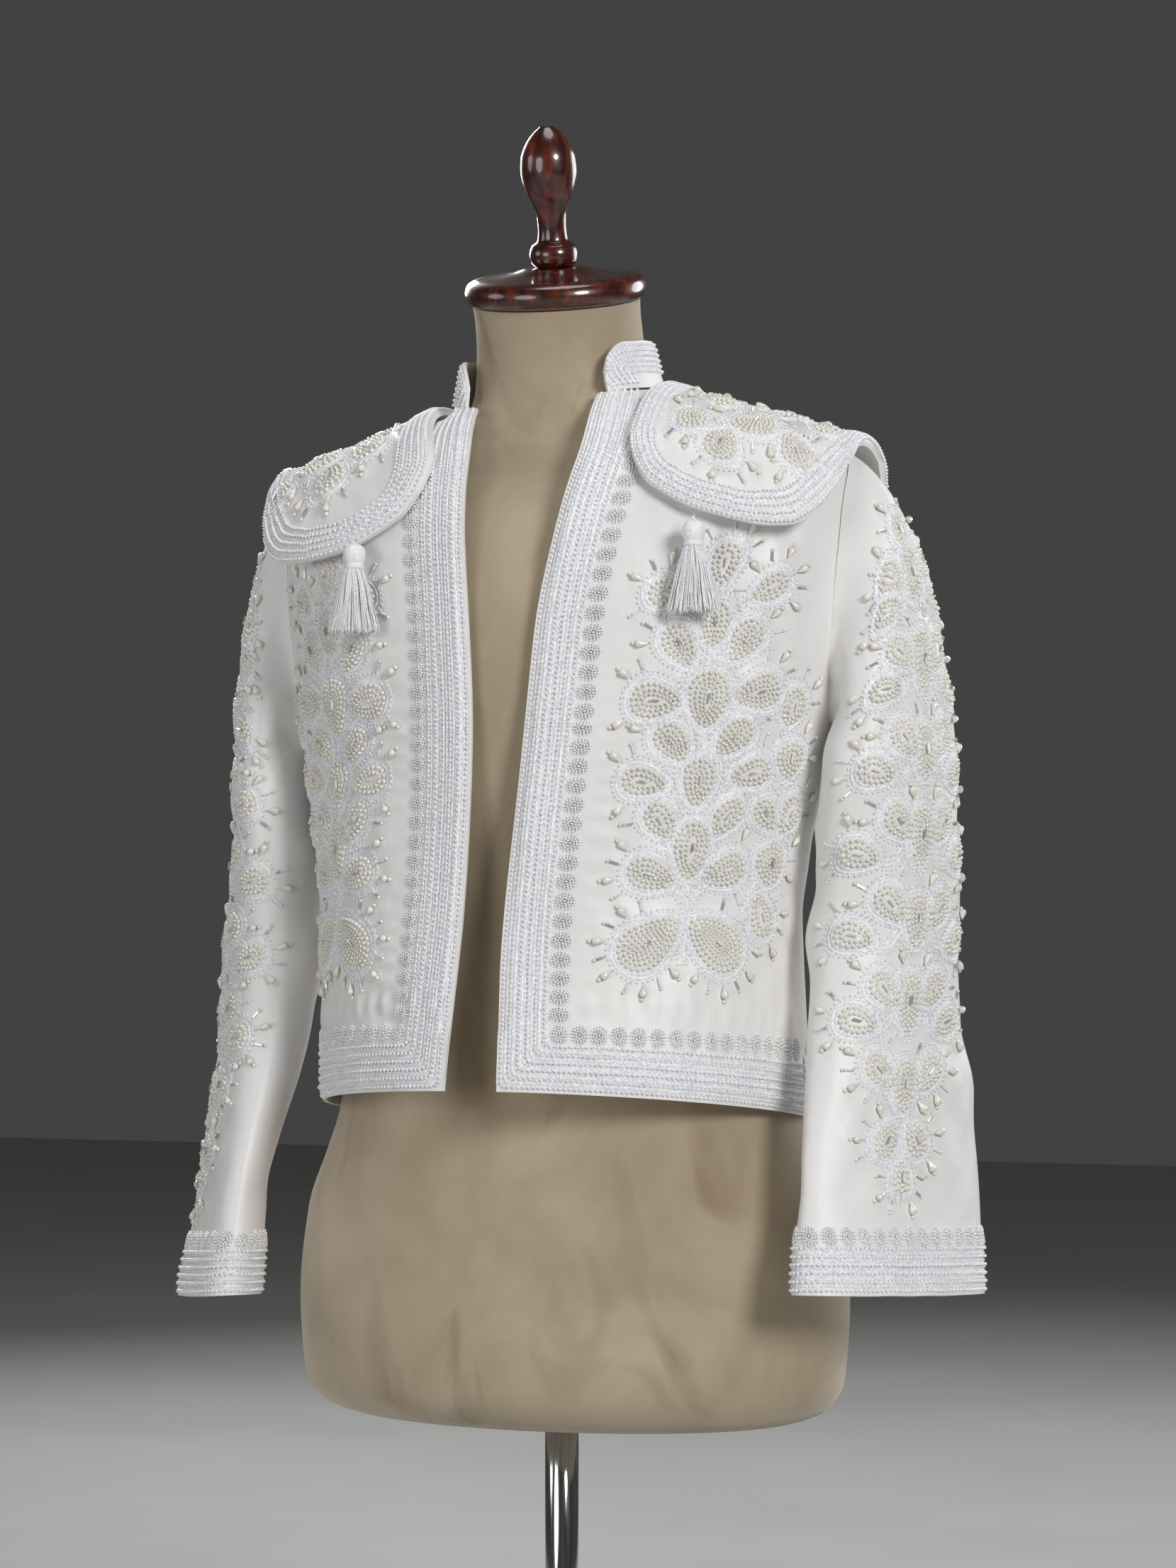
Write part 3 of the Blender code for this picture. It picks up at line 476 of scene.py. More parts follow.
def steelMaterial():
    # chromed steel tube: fine length-wise polish lines
    material, shader = newMaterial("chromed steel tube", metallic=1.0, roughness=0.12)
    place = add(material, "ShaderNodeTexCoord").outputs["Object"]
    along = add(material, "ShaderNodeMapping", {"Vector": place}, in_Scale=(1.0, 1.0, 0.02))
    lines = add(material, "ShaderNodeTexNoise", {"Vector": along.outputs["Vector"]}, in_Scale=900.0,
                in_Detail=2.0)
    colour = ramp(material, lines.outputs["Fac"], ((0.3, "B9BABB"), (0.7, "D6D7D8")))
    link(material, colour.outputs["Color"], shader, "Base Color")
    rough = ramp(material, lines.outputs["Fac"], ((0.3, 0.08), (0.7, 0.18)))
    link(material, rough.outputs["Color"], shader, "Roughness")
    return material


def ironMaterial():
    # cast iron base with black powder coat: a slight orange peel
    material, shader = newMaterial("powder-coated iron, black", roughness=0.42, ior=1.5)
    place = add(material, "ShaderNodeTexCoord").outputs["Object"]
    peel = add(material, "ShaderNodeTexNoise", {"Vector": place}, in_Scale=500.0, in_Detail=2.0)
    colour = ramp(material, peel.outputs["Fac"], ((0.3, "1B1B1C"), (0.7, "262627")))
    link(material, colour.outputs["Color"], shader, "Base Color")
    bump = add(material, "ShaderNodeBump", {"Height": peel.outputs["Fac"]}, in_Strength=0.15,
               in_Distance=0.0008)
    link(material, bump.outputs["Normal"], shader, "Normal")
    return material


satin = satinMaterial()
braid = braidMaterial("rayon chain stitch, cool white", "DCDCE6", "FFFFFF")
silk = braidMaterial("rayon tassel thread, white", "EBEBF0", "FEFEFF")
pearl, seed, bugle = pearlMaterial(), seedMaterial(), bugleMaterial()
suede, wood, steel, iron = suedeMaterial(), woodMaterial(), steelMaterial(), ironMaterial()
stage("materials")


mapStep = 0.002


def clothMap(points, inner, acrossAt, upAt):
    # a cloth's outer side laid out flat: across from column acrossAt, up from row 0
    rows, middle = len(points), points.shape[1] // 2
    across, rise = (np.diff(points[rows // 2:, middle:], axis=k)[0, 0] for k in (1, 0))
    outward = 1 if np.dot(np.cross(across, rise), (points - inner)[rows // 2, middle]) > 0 else -1
    across = np.zeros(points.shape[:2])
    across[:, 1:] = np.cumsum(np.linalg.norm(np.diff(points, axis=1), axis=2), axis=1)
    across -= across[np.arange(rows), acrossAt][:, None]
    rise = np.linalg.norm(np.diff(points, axis=0), axis=2)
    up = np.concatenate([[0], np.cumsum(rise[:, upAt].mean(axis=1))])
    low, high = across.min(), across.max()
    columns = np.arange(low, high + mapStep, mapStep)
    spread = np.stack([
        np.stack([np.interp(columns, across[i], points[i, :, k]) for k in range(3)], -1) for i in range(rows)
    ])
    heights = np.arange(0, up[-1], mapStep)
    flat = spread.reshape(rows, -1)
    place = np.clip(np.searchsorted(up, heights, side="right") - 1, 0, rows - 2)
    part = ((heights - up[place]) / (up[place + 1] - up[place]))[:, None]
    grid = (flat[place] * (1 - part) + flat[place + 1] * part).reshape(len(heights), len(columns), 3)
    least = np.interp(heights, up, across[:, 0])
    most = np.interp(heights, up, across[:, -1])
    return {"grid": grid, "low": low, "least": least, "most": most, "top": heights[-1], "outward": outward}


def onCloth(cloth, across, up):
    # place, outward normal and the two directions along the cloth
    grid = cloth["grid"]
    rows, columns = grid.shape[:2]
    x = np.clip((np.asarray(across) - cloth["low"]) / mapStep, 1, columns - 2.001)
    y = np.clip(np.asarray(up) / mapStep, 1, rows - 2.001)
    i, j = y.astype(int), x.astype(int)
    v, u = (y - i)[:, None], (x - j)[:, None]

    def read(di, dj):
        a, b = np.clip(i + di, 0, rows - 2), np.clip(j + dj, 0, columns - 2)
        return ((grid[a, b] * (1 - u) + grid[a, b + 1] * u) * (1 - v)
                + (grid[a + 1, b] * (1 - u) + grid[a + 1, b + 1] * u) * v)

    point = read(0, 0)
    along = read(0, 1) - read(0, -1)
    rise = read(1, 0) - read(-1, 0)
    normal = np.cross(along, rise) * cloth["outward"]
    size = np.maximum(np.linalg.norm(normal, axis=1, keepdims=True), 1e-12)
    return point, normal / size, along, rise


def inside(cloth, across, up, margin):
    rows = np.clip((np.asarray(up) / mapStep).astype(int), 0, len(cloth["least"]) - 1)
    good = (across > cloth["least"][rows] + margin) & (across < cloth["most"][rows] - margin)
    return good & (up > margin) & (up < cloth["top"] - margin)


def evenly(line, pitch, start=0.0):
    line = np.asarray(line, float)
    size = np.concatenate([[0], np.cumsum(np.linalg.norm(np.diff(line, axis=0), axis=1))])
    count = max(2, int(round((size[-1] - 2 * start) / pitch)) + 1)
    at = np.linspace(start, size[-1] - start, count)
    return np.stack([np.interp(at, size, line[:, k]) for k in range(2)], -1)


def along(line):
    step = np.gradient(line, axis=0)
    return step / np.maximum(np.linalg.norm(step, axis=1, keepdims=True), 1e-12)


def ballForm(sides, rings, low=-0.35):
    # a ball cut off below, because it sits in the cloth
    heights = np.linspace(math.asin(low), math.pi / 2, rings + 1)[:-1]
    points = [(math.cos(a) * math.cos(t), math.cos(a) * math.sin(t), math.sin(a))
              for a in heights for t in np.arange(sides) * 2 * math.pi / sides]
    points.append((0, 0, 1))
    faces = []
    for i in range(rings - 1):
        for k in range(sides):
            n = (k + 1) % sides
            a, b, c, d = i * sides + k, i * sides + n, (i + 1) * sides + n, (i + 1) * sides + k
            faces += [(a, b, c), (a, c, d)]
    last = (rings - 1) * sides
    faces += [(last + k, last + (k + 1) % sides, len(points) - 1) for k in range(sides)]
    return np.array(points), np.array(faces)


def turnedForm(profile, sides):
    # turned about its own length (x), such as a drop or a tube
    turns = np.arange(sides) * 2 * math.pi / sides
    points = [(x, r * math.cos(t), r * math.sin(t)) for x, r in profile for t in turns]
    faces = []
    for i in range(len(profile) - 1):
        for k in range(sides):
            n = (k + 1) % sides
            a, b, c, d = i * sides + k, i * sides + n, (i + 1) * sides + n, (i + 1) * sides + k
            faces += [(a, c, b), (a, d, c)]
    return np.array(points), np.array(faces)


beadForms = {
    "pearl": ballForm(7, 2),
    "seed": ballForm(4, 2, 0.0),
    "drop": turnedForm(((-1, 0.04), (-0.6, 0.34), (-0.1, 0.70), (0.35, 0.98), (0.68, 0.90), (0.92, 0.50),
                        (1, 0.0)), 7),
    "bugle": turnedForm(((-1, 0.0), (-1, 1), (1, 1), (1, 0.0)), 5),
}
beadLooks = {"pearl": (pearl, "satin"), "seed": (seed, "braid"), "drop": (pearl, "satin"),
             "bugle": (bugle, "braid")}


class Work:
    # the beads and cords of one piece of cloth, gathered before they are made
    def __init__(self, cloth):
        self.cloth, self.beads, self.cords, self.taken = cloth, {kind: [] for kind in beadForms}, [], []

    def bead(self, kind, spots, direction, length, width, height, lift=0.0):
        spots = np.atleast_2d(spots)
        if not len(spots):
            return
        point, normal, right, rise = onCloth(self.cloth, spots[:, 0], spots[:, 1])
        direction = np.broadcast_to(direction, spots.shape)
        right = right / np.linalg.norm(right, axis=1, keepdims=True)
        rise = rise / np.linalg.norm(rise, axis=1, keepdims=True)
        way = right * direction[:, :1] + rise * direction[:, 1:]
        way -= normal * (way * normal).sum(1, keepdims=True)
        way /= np.maximum(np.linalg.norm(way, axis=1, keepdims=True), 1e-12)
        side = np.cross(normal, way)
        n = len(spots)
        size = np.stack([np.broadcast_to(v, (n,)) for v in (length, width, height)], -1)
        self.beads[kind].append((point + normal * np.broadcast_to(lift, (n,))[:, None], way, side, normal,
                                 size))

    def cord(self, line, width, pitch=0.0028, height=0.45, lift=0.0):  # one row of chain stitch
        line = evenly(line, pitch / 2)
        point, normal, _, _ = onCloth(self.cloth, line[:, 0], line[:, 1])
        way = np.gradient(point, axis=0)
        side = np.cross(normal, way)
        side /= np.maximum(np.linalg.norm(side, axis=1, keepdims=True), 1e-12)
        fat = np.where(np.arange(len(line)) % 2 == 0, 1.0, 0.78)[:, None] * width / 2
        turns = np.radians((-12, 90, 192))
        ring = (point[:, None] + normal[:, None] * lift
                + side[:, None] * (np.cos(turns)[None, :, None] * fat[:, None])
                + normal[:, None] * (np.sin(turns)[None, :, None] * fat[:, None] * height * 2))
        self.cords.append(ring)

    def make(self, name):
        made = []
        for kind, groups in self.beads.items():
            if not groups:
                continue
            form, faces = beadForms[kind]
            at, way, side, normal, size = (np.concatenate([g[k] for g in groups]) for k in range(5))
            points = (at[:, None] + way[:, None] * (form[None, :, :1] * size[:, None, :1])
                      + side[:, None] * (form[None, :, 1:2] * size[:, None, 1:2])
                      + normal[:, None] * (form[None, :, 2:] * size[:, None, 2:]))
            every = faces[None] + (np.arange(len(at)) * len(form))[:, None, None]
            look, slot = beadLooks[kind]
            made.append(toPiece(f"{name}_{kind}s", points.reshape(-1, 3), every.reshape(-1, 3), look))
        if self.cords:
            points, faces, start = [], [], 0
            for ring in self.cords:
                faces.append(shellFaces(len(ring), 3, False) + start)
                points.append(ring.reshape(-1, 3))
                start += len(points[-1])
            cords = toPiece(f"{name}_braid", np.concatenate(points), np.concatenate(faces), braid,
                            (), False)
            cords.data.shade_smooth()
            made.append(cords)
        count = sum(len(g[0]) for groups in self.beads.values() for g in groups)
        stage(f"{name}: {count} beads, {len(self.cords)} cords")
        return made


def bandAlong(work, lineAt, beadsAt, cordsAt):
    # a border: rows of beads on rows of chain stitch; lineAt(d) is the line d in from the edge
    for index, inset in enumerate(beadsAt):
        spots = evenly(lineAt(inset), 0.0034)
        size = 0.00130 if index else 0.00140
        work.bead("seed", spots, along(spots), size, size, size * 1.15, 0.0009 if index else 0.0003)
    for inset in cordsAt:
        work.cord(lineAt(inset), 0.0030)


def chainRows(first, last):  # rows of chain stitch side by side, about 2.4 mm apart
    return np.linspace(first, last, int(round((last - first) / 0.0024)) + 1)


borderRows = (0.0030, 0.0086, 0.0142, 0.0198, 0.0254, 0.0310), chainRows(0.0055, 0.0320)


def rosettes(work, line, pitch=0.0130, size=1.0):
    # daisies of small beads: two rings of glass and one of pearls round a long pearl, over a ring of stitches
    spots = evenly(line, pitch, pitch / 2)
    rings = (  # kind, count, half length, half width, bead radius, lift
        ("seed", 16, 0.0063, 0.0053, 0.00108, 0.0002), ("seed", 12, 0.0045, 0.0037, 0.00108, 0.0008),
        ("pearl", 7, 0.0027, 0.0020, 0.00105, 0.0010),
    )
    for spot, way in zip(spots, along(spots)):
        away = np.array([-way[1], way[0]])
        for kind, count, wide, tall, radius, lift in rings:
            turns = (np.arange(count) + 0.5) * 2 * math.pi / count
            ring = spot + (np.cos(turns)[:, None] * away * wide + np.sin(turns)[:, None] * way * tall) * size
            work.bead(kind, ring, (1, 0), radius, radius, radius * 1.1, lift)
        work.bead("pearl", spot, away, 0.0015, 0.0008, 0.0009, 0.0014)
        turns = np.linspace(0, 2 * math.pi, 13)
        ring = np.cos(turns)[:, None] * away * 0.0030 + np.sin(turns)[:, None] * way * 0.0022
        work.cord(spot + ring * size, 0.0028, 0.0034)


def petalLine(spot, long, short, turn, grow=0.0, count=48):
    # an egg shape; its wide end points along turn (degrees from up towards across)
    t = np.linspace(0, 2 * math.pi, count)
    a = math.radians(turn)
    forward, aside = np.array([math.sin(a), math.cos(a)]), np.array([math.cos(a), -math.sin(a)])
    length, width = long + grow, short + grow
    x = length * np.cos(t)
    y = width * np.sin(t) * (1 + 0.34 * np.cos(t))
    return np.asarray(spot) + x[:, None] * forward + y[:, None] * aside


def petal(work, spot, long, short, turn):
    # pearls in rows from the rim inward, a bugle in the heart, stitched rims with picot beads
    work.cord(petalLine(spot, long, short, turn, 0.0018), 0.0030)
    work.cord(petalLine(spot, long, short, turn, 0.0044), 0.0028)
    picots = evenly(petalLine(spot, long, short, turn, 0.0064), 0.0037)[:-1]
    work.bead("seed", picots, (1, 0), 0.0011, 0.0011, 0.0012, 0.0003)
    inset, size, pitch = -0.0013, 0.00172, 0.0040
    while short + inset > 0.0014:
        line = evenly(petalLine(spot, long, short, turn, inset), pitch)[:-1]
        work.bead("pearl", line, (1, 0), size, size, size, 0.0006)
        inset -= size * 2.0
        size, pitch = max(0.0012, size * 0.87), max(0.0029, pitch * 0.88)
    a = math.radians(turn)
    way = np.array([math.sin(a), math.cos(a)])
    work.bead("bugle", np.asarray(spot) + way * 0.1 * long, way, 0.0030, 0.0008, 0.0008, 0.0022)
    work.taken.append((np.asarray(spot), long, short, turn))


def stem(work, line, width=0.0030):
    line = np.asarray(line, float)
    if len(line) > 2:
        fine = np.linspace(0, len(line) - 1, 8 * len(line))
        table = [(float(k), *line[k]) for k in range(len(line))]
        line = np.stack([smoothRead(table, 1, fine), smoothRead(table, 2, fine)], -1)
    side = along(line)
    side = np.stack([-side[:, 1], side[:, 0]], -1)
    work.cord(line + side * width * 0.46, width)
    work.cord(line - side * width * 0.46, width)
    for offset in (-1, 1):
        spots = evenly(line + side * offset * width * 1.25, 0.0037)
        work.bead("seed", spots, (1, 0), 0.0010, 0.0010, 0.0011, 0.0003)
    work.taken.append((line, None, None, None))


def farFrom(spots, taken, least):  # spots that lie clear of every petal and stem
    good = np.ones(len(spots), bool)
    for centre, long, short, turn in taken:
        if long is None:
            line = evenly(centre, 0.004)
            reach = least * 0.8
        else:
            line = petalLine(centre, long, short, turn, 0, 24)
            a = math.radians(turn)
            away = spots - centre
            f = away @ np.array([math.sin(a), math.cos(a)])
            s = away @ np.array([math.cos(a), -math.sin(a)])
            good &= (f / (long + 0.003)) ** 2 + (s / (short * 1.25 + 0.003)) ** 2 > 1
            reach = least
        gap = np.linalg.norm(spots[:, None] - line[None], axis=2).min(axis=1)
        good &= gap > reach
    return good


def rays(work, margin=0.008, spacing=0.0105, keep=None):
    # pearls and bugles that point away from the flowers, by turns
    chosen, count = [], 0
    for centre, long, short, turn in list(work.taken):
        if long is None:
            continue
        ring = evenly(petalLine(centre, long, short, turn, 0.0076), 0.0035)[:-1]
        centre = np.asarray(centre)
        out = ring - centre
        size = np.linalg.norm(out, axis=1, keepdims=True)
        out /= size
        middle = ring + out * 0.0060
        good = farFrom(middle, work.taken, 0.0100) & inside(work.cloth, middle[:, 0], middle[:, 1], margin)
        if keep is not None:
            good &= keep(middle)
        for spot, start, way in zip(middle[good], ring[good], out[good]):
            if chosen and np.min(np.linalg.norm(np.array(chosen) - spot, axis=1)) < spacing:
                continue
            chosen.append(spot)
            count += 1
            if count % 2:
                work.bead("drop", start + way * 0.0044, way, 0.0046, 0.0028, 0.0026, 0.0021)
                work.bead("pearl", start + way * 0.0105, way, 0.0016, 0.0016, 0.0016, 0.0009)
            else:
                work.bead("bugle", start + way * 0.0030, way, 0.0030, 0.0009, 0.0009, 0.0010)
                work.bead("pearl", start + way * 0.0074, way, 0.0014, 0.0014, 0.0014, 0.0008)


def petalRise(across, up, petals, most=0.0018):
    rise = np.zeros(np.broadcast(across, up).shape)
    for s, h, long, short, turn in petals:
        a = math.radians(turn)
        f = (across - s) * math.sin(a) + (up - h) * math.cos(a)
        g = (across - s) * math.cos(a) - (up - h) * math.sin(a)
        rise = np.maximum(rise, most * ease(1.35 - 1.1 * ((f / long) ** 2 + (g / (short * 1.2)) ** 2)))
    return rise


def band(distance, start, end):
    return ease((distance - start) / 0.003) * (1 - ease((distance - end) / 0.004))


frontPetals = (  # across from the front edge, up from the hem, half length, half width, turn
    (0.0980, 0.1050, 0.0230, 0.0145, -128), (0.1450, 0.1050, 0.0230, 0.0145, 128),
    (0.0960, 0.1500, 0.0165, 0.0100, -72), (0.1470, 0.1520, 0.0165, 0.0100, 70),
    (0.1215, 0.1660, 0.0190, 0.0115, 0), (0.0990, 0.1860, 0.0140, 0.0085, -38),
    (0.1440, 0.1880, 0.0140, 0.0085, 36), (0.0850, 0.2130, 0.0150, 0.0090, -78),
    (0.1215, 0.2120, 0.0160, 0.0100, 0), (0.1580, 0.2180, 0.0150, 0.0090, 74),
    (0.1010, 0.2390, 0.0150, 0.0095, -42), (0.1420, 0.2420, 0.0150, 0.0095, 44),
    (0.0870, 0.2700, 0.0170, 0.0115, -84), (0.1215, 0.2690, 0.0200, 0.0130, 0),
    (0.1570, 0.2750, 0.0165, 0.0110, 78), (0.0990, 0.3060, 0.0155, 0.0095, -34),
    (0.1430, 0.3090, 0.0155, 0.0095, 34), (0.1210, 0.3200, 0.0150, 0.0095, 0),
    (0.0860, 0.3400, 0.0130, 0.0085, -62), (0.1560, 0.3440, 0.0130, 0.0085, 60),
    (0.1210, 0.3600, 0.0140, 0.0090, 0),
    (0.1820, 0.1220, 0.0150, 0.0090, 150), (0.1860, 0.1560, 0.0130, 0.0120, 0),
    (0.1980, 0.1900, 0.0140, 0.0085, 35), (0.1760, 0.1900, 0.0120, 0.0075, -40),
    (0.1900, 0.2270, 0.0120, 0.0110, 0), (0.1860, 0.2640, 0.0140, 0.0085, 12),
)
frontStems = (
    ((0.1215, 0.0900), (0.1215, 0.1200), (0.1210, 0.1460)), ((0.1215, 0.1860), (0.1230, 0.1950)),
    ((0.1215, 0.1300), (0.1130, 0.1400), (0.1060, 0.1460)),
    ((0.1215, 0.1300), (0.1310, 0.1400), (0.1370, 0.1470)),
    ((0.1215, 0.2290), (0.1210, 0.2480)), ((0.1215, 0.2300), (0.1130, 0.2300), (0.1080, 0.2310)),
    ((0.1210, 0.2900), (0.1210, 0.3040)), ((0.1210, 0.2960), (0.1120, 0.2960), (0.1060, 0.2960)),
    ((0.1215, 0.2940), (0.1300, 0.2970), (0.1370, 0.2980)), ((0.1210, 0.3360), (0.1210, 0.3450)),
    ((0.1640, 0.1180), (0.1700, 0.1350), (0.1740, 0.1480)),
    ((0.1880, 0.1700), (0.1890, 0.1960), (0.1900, 0.2140)),
    ((0.1040, 0.3280), (0.0960, 0.3320)), ((0.1380, 0.3290), (0.1470, 0.3350)),
)


def frontCloth(side):
    name = "front_left" if side > 0 else "front_right"
    settings = {"rows": (76, 40, 15), "columns": 70, "border": 0.0012, "ripple": 0.0007}
    rows = rowHeights(*settings["rows"])
    parts = np.linspace(0, 1, settings["columns"]) ** 0.97
    zs, parts = np.meshgrid(rows, parts, indexing="ij")
    angles = np.full_like(zs, math.radians(45))
    gap = 1 if side > 0 else 2
    for _ in range(4):
        heights = levelled(zs, angles)
        start = np.arcsin(smoothRead(frontGap, gap, heights) / smoothRead(levels, 5, heights))
        angles = start + (armholeAngle(zs, 6) - start) * parts
    heights = levelled(zs, angles)
    inner, normal = bodyPoint(heights, angles), bodyNormal(heights, angles)
    across = np.zeros(zs.shape)
    across[:, 1:] = np.cumsum(np.linalg.norm(np.diff(inner, axis=1), axis=2), axis=1)
    up = heights - hemZ(angles)
    border = np.maximum(band(across, 0.0045, 0.036), band(up, 0.0045, 0.036))
    rise = np.maximum(settings["border"] * border, petalRise(across, up, frontPetals))
    # the stitching pulls the satin in between the flowers and along the border
    pucker = settings["ripple"] * ripple(across * 260, up * 190, 3 + side) * ease((across - 0.050) / 0.02)
    pucker += 0.0014 * ripple(across * 60, up * 42, 8 + side) * ease((up - 0.03) / 0.05)
    pulls = 0.0010 * (0.6 + 0.4 * np.sin(up * 37 + 1.3 * side))
    besideEdge = ease((across - 0.048) / 0.006) * (1 - ease((across - 0.056) / 0.022))
    pucker += pulls * np.sin(up * 470 + 1.6 * np.sin(up * 61)) * besideEdge
    besideHem = ease((up - 0.048) / 0.006) * (1 - ease((up - 0.056) / 0.018))
    pucker += pulls * np.sin(across * 450 + 0.8) * besideHem
    fade = (1 - ease((heights - 0.955) / 0.02) * ease((parts - 0.2) / 0.1)) * ease((1 - parts) / 0.05)
    rise = rise * fade
    pucker = pucker * fade * ease(across / 0.01) * ease(up / 0.01)
    outer = inner + normal * (wall + rise + pucker)[..., None]
    inner = inner + normal * pucker[..., None] * 0.8
    inner, outer = (settle(grid * (side, 1, 1)) for grid in (inner, outer))
    piece = shell(name + "_satin", outer, inner, False, satin, (name,))
    cloth = clothMap(outer, inner, 0, slice(20, 50))
    work = Work(cloth)
    top = cloth["top"] - 0.002

    def edgeLine(inset):
        rowsUp = np.linspace(top, inset + 0.004, 120)
        corner = [(inset + 0.0012, inset + 0.0012)]
        limit = np.interp(inset, np.arange(len(cloth["most"])) * mapStep, cloth["most"]) - 0.0035
        hem = np.stack([np.linspace(inset + 0.004, limit, 90), np.full(90, inset)], -1)
        return np.concatenate([np.stack([np.full(120, inset), rowsUp], -1), corner, hem])

    bandAlong(work, edgeLine, *borderRows)
    limit = cloth["most"][20] - 0.006
    rosettes(work, [(0.0402, cloth["top"] - 0.012), (0.0402, 0.048)])
    rosettes(work, [(0.0345, 0.0402), (limit, 0.0402)])
    for s, h, long, short, turn in frontPetals:
        petal(work, (s, h), long, short, turn)
    for line in frontStems:
        stem(work, line)
    rays(work, 0.008, 0.0100, lambda p: (p[:, 0] > 0.062) & (p[:, 1] > 0.062))
    extras = work.make(name)


def backCloth():
    settings = {"rows": (50, 26, 12), "columns": 72}
    rows = rowHeights(*settings["rows"])
    zs, parts = np.meshgrid(rows, np.linspace(-1, 1, settings["columns"]), indexing="ij")
    angles = math.pi - parts * armholeAngle(zs, 7)
    heights = levelled(zs, angles)
    inner, normal = bodyPoint(heights, angles), bodyNormal(heights, angles)
    up = heights - hemZ(angles)
    hang = 0.0034 * np.sin(parts * 9.5 + 0.6) * (1 - ease((up - 0.02) / 0.20)) * (1 - parts**2)
    waist = 0.0036 * np.exp(-(((up - 0.135) / 0.018) ** 2)) * np.sin(parts * 11 + 1.2) * (1 - parts**2)
    second = np.exp(-(((up - 0.165 - 0.02 * parts) / 0.016) ** 2))
    waist -= 0.0032 * second * np.cos(parts * 7) * (1 - parts**2)
    soft = 0.0028 * ripple(parts * 9, up * 30, 21) * (1 - parts**2)
    move = 0.6 * hang + np.maximum(waist, -0.0008) + np.maximum(soft, -0.0006)
    fade = ease((0.99 - heights) / 0.03) * ease(up / 0.01)
    rise = 0.0012 * band(up, 0.0045, 0.036)
    outer = inner + normal * (wall + rise + move * fade)[..., None]
    inner = inner + normal * (np.maximum(move, 0) * fade)[..., None] * 0.7
    inner, outer = settle(inner), settle(outer)
    piece = shell("back_satin", outer, inner, False, satin, ("back",))
    cloth = clothMap(outer, inner, 36, slice(14, 58))
    work = Work(cloth)

    def hemLine(inset):
        row = int(inset / mapStep)
        width = np.linspace(cloth["least"][row] + 0.003, cloth["most"][row] - 0.003, 120)
        return np.stack([width, np.full(120, inset)], -1)

    bandAlong(work, hemLine, *borderRows)
    rosettes(work, [(cloth["least"][20] + 0.006, 0.0402), (cloth["most"][20] - 0.006, 0.0402)])
    extras = work.make("back")


sleeveFolds = (  # height, turn round the sleeve, rise per degree, half width up, half width round, depth
    (0.835, 205.0, 0.00035, 0.016, 50.0, -0.0030), (0.800, 230.0, 0.00040, 0.014, 40.0, 0.0025),
    (0.690, 330.0, -0.00030, 0.018, 55.0, -0.0030), (0.640, 215.0, 0.00025, 0.020, 50.0, -0.0028),
    (0.600, 300.0, -0.00020, 0.018, 60.0, 0.0026), (0.540, 20.0, 0.00020, 0.022, 50.0, -0.0025),
    (0.720, 240.0, 0.00030, 0.010, 35.0, -0.0016), (0.665, 250.0, -0.00020, 0.009, 40.0, 0.0014),
    (0.580, 350.0, 0.00025, 0.010, 40.0, -0.0013), (0.480, 230.0, 0.00015, 0.014, 40.0, 0.0012),
)


sleeveMiddle = 0.014  # the motif's centre line, in front of the sleeve's outer line
sleeveWidths = (0.75, 0.98, 1.12, 1.15, 1.05, 0.88, 0.70)


def sleevePetals():
    rows = [(0.0, 0.0790, 0.0110, 0.0070, 180), (-0.0130, 0.1040, 0.0125, 0.0085, -150)]
    rows += [(0.0130, 0.1040, 0.0125, 0.0085, 150), (0.0, 0.5060, 0.0110, 0.0070, 0)]
    for k, wide in enumerate(sleeveWidths):
        h = 0.136 + 0.056 * k
        wave = 0.0012 * math.sin(k * 2.1)
        rows.append((wave, h + 0.004, 0.0200 if k % 2 else 0.0175, 0.0105, 0))
        rows.append((-0.0215, h + 0.012 + wave, 0.0140, 0.0090, -42))
        rows.append((0.0215, h + 0.014 - wave, 0.0140, 0.0090, 42))
        if k:
            rows.append((-0.0405 * wide, h - 0.010 + wave, 0.0135, 0.0088, -74))
            rows.append((0.0405 * wide, h - 0.007 - wave, 0.0135, 0.0088, 74))
    return [(s + sleeveMiddle, *rest) for s, *rest in rows]


def sleeveSection(z, turn):
    cx, cy, a, b, tilt = (smoothRead(sleeveTable, c, z) for c in range(1, 6))
    tilt = np.radians(tilt)
    p, q = a * np.cos(turn), b * np.sin(turn)
    x = cx + p * np.cos(tilt) + q * np.sin(tilt)
    y = cy + p * np.sin(tilt) - q * np.cos(tilt)
    return np.stack([x, y, z + 0 * x], axis=-1)


def armholeRing(turn, pull):
    z = armMiddle + (armHalf + 0.001) * np.sin(turn)
    y = np.where(np.cos(turn) < 0, armFront + 0.001, armBack + 0.001) * np.cos(turn)
    depth = np.where(y < 0, smoothRead(levels, 6, z), smoothRead(levels, 7, z))
    angle = np.arccos(-y / depth)
    point, normal = bodyPoint(z, angle), bodyNormal(z, angle)
    radial = np.stack([0 * turn, np.cos(turn) * 0.5, np.sin(turn)], axis=-1)
    way = pull / np.linalg.norm(pull, axis=-1, keepdims=True)
    radial = radial - way * (radial * way).sum(-1, keepdims=True)
    radial /= np.linalg.norm(radial, axis=-1, keepdims=True)
    over = np.clip((radial * normal).sum(-1), 0, 1)
    return point + normal * (wall * 0.7 + wall * 0.6 * over)[..., None]  # sewn onto the edge of the armhole


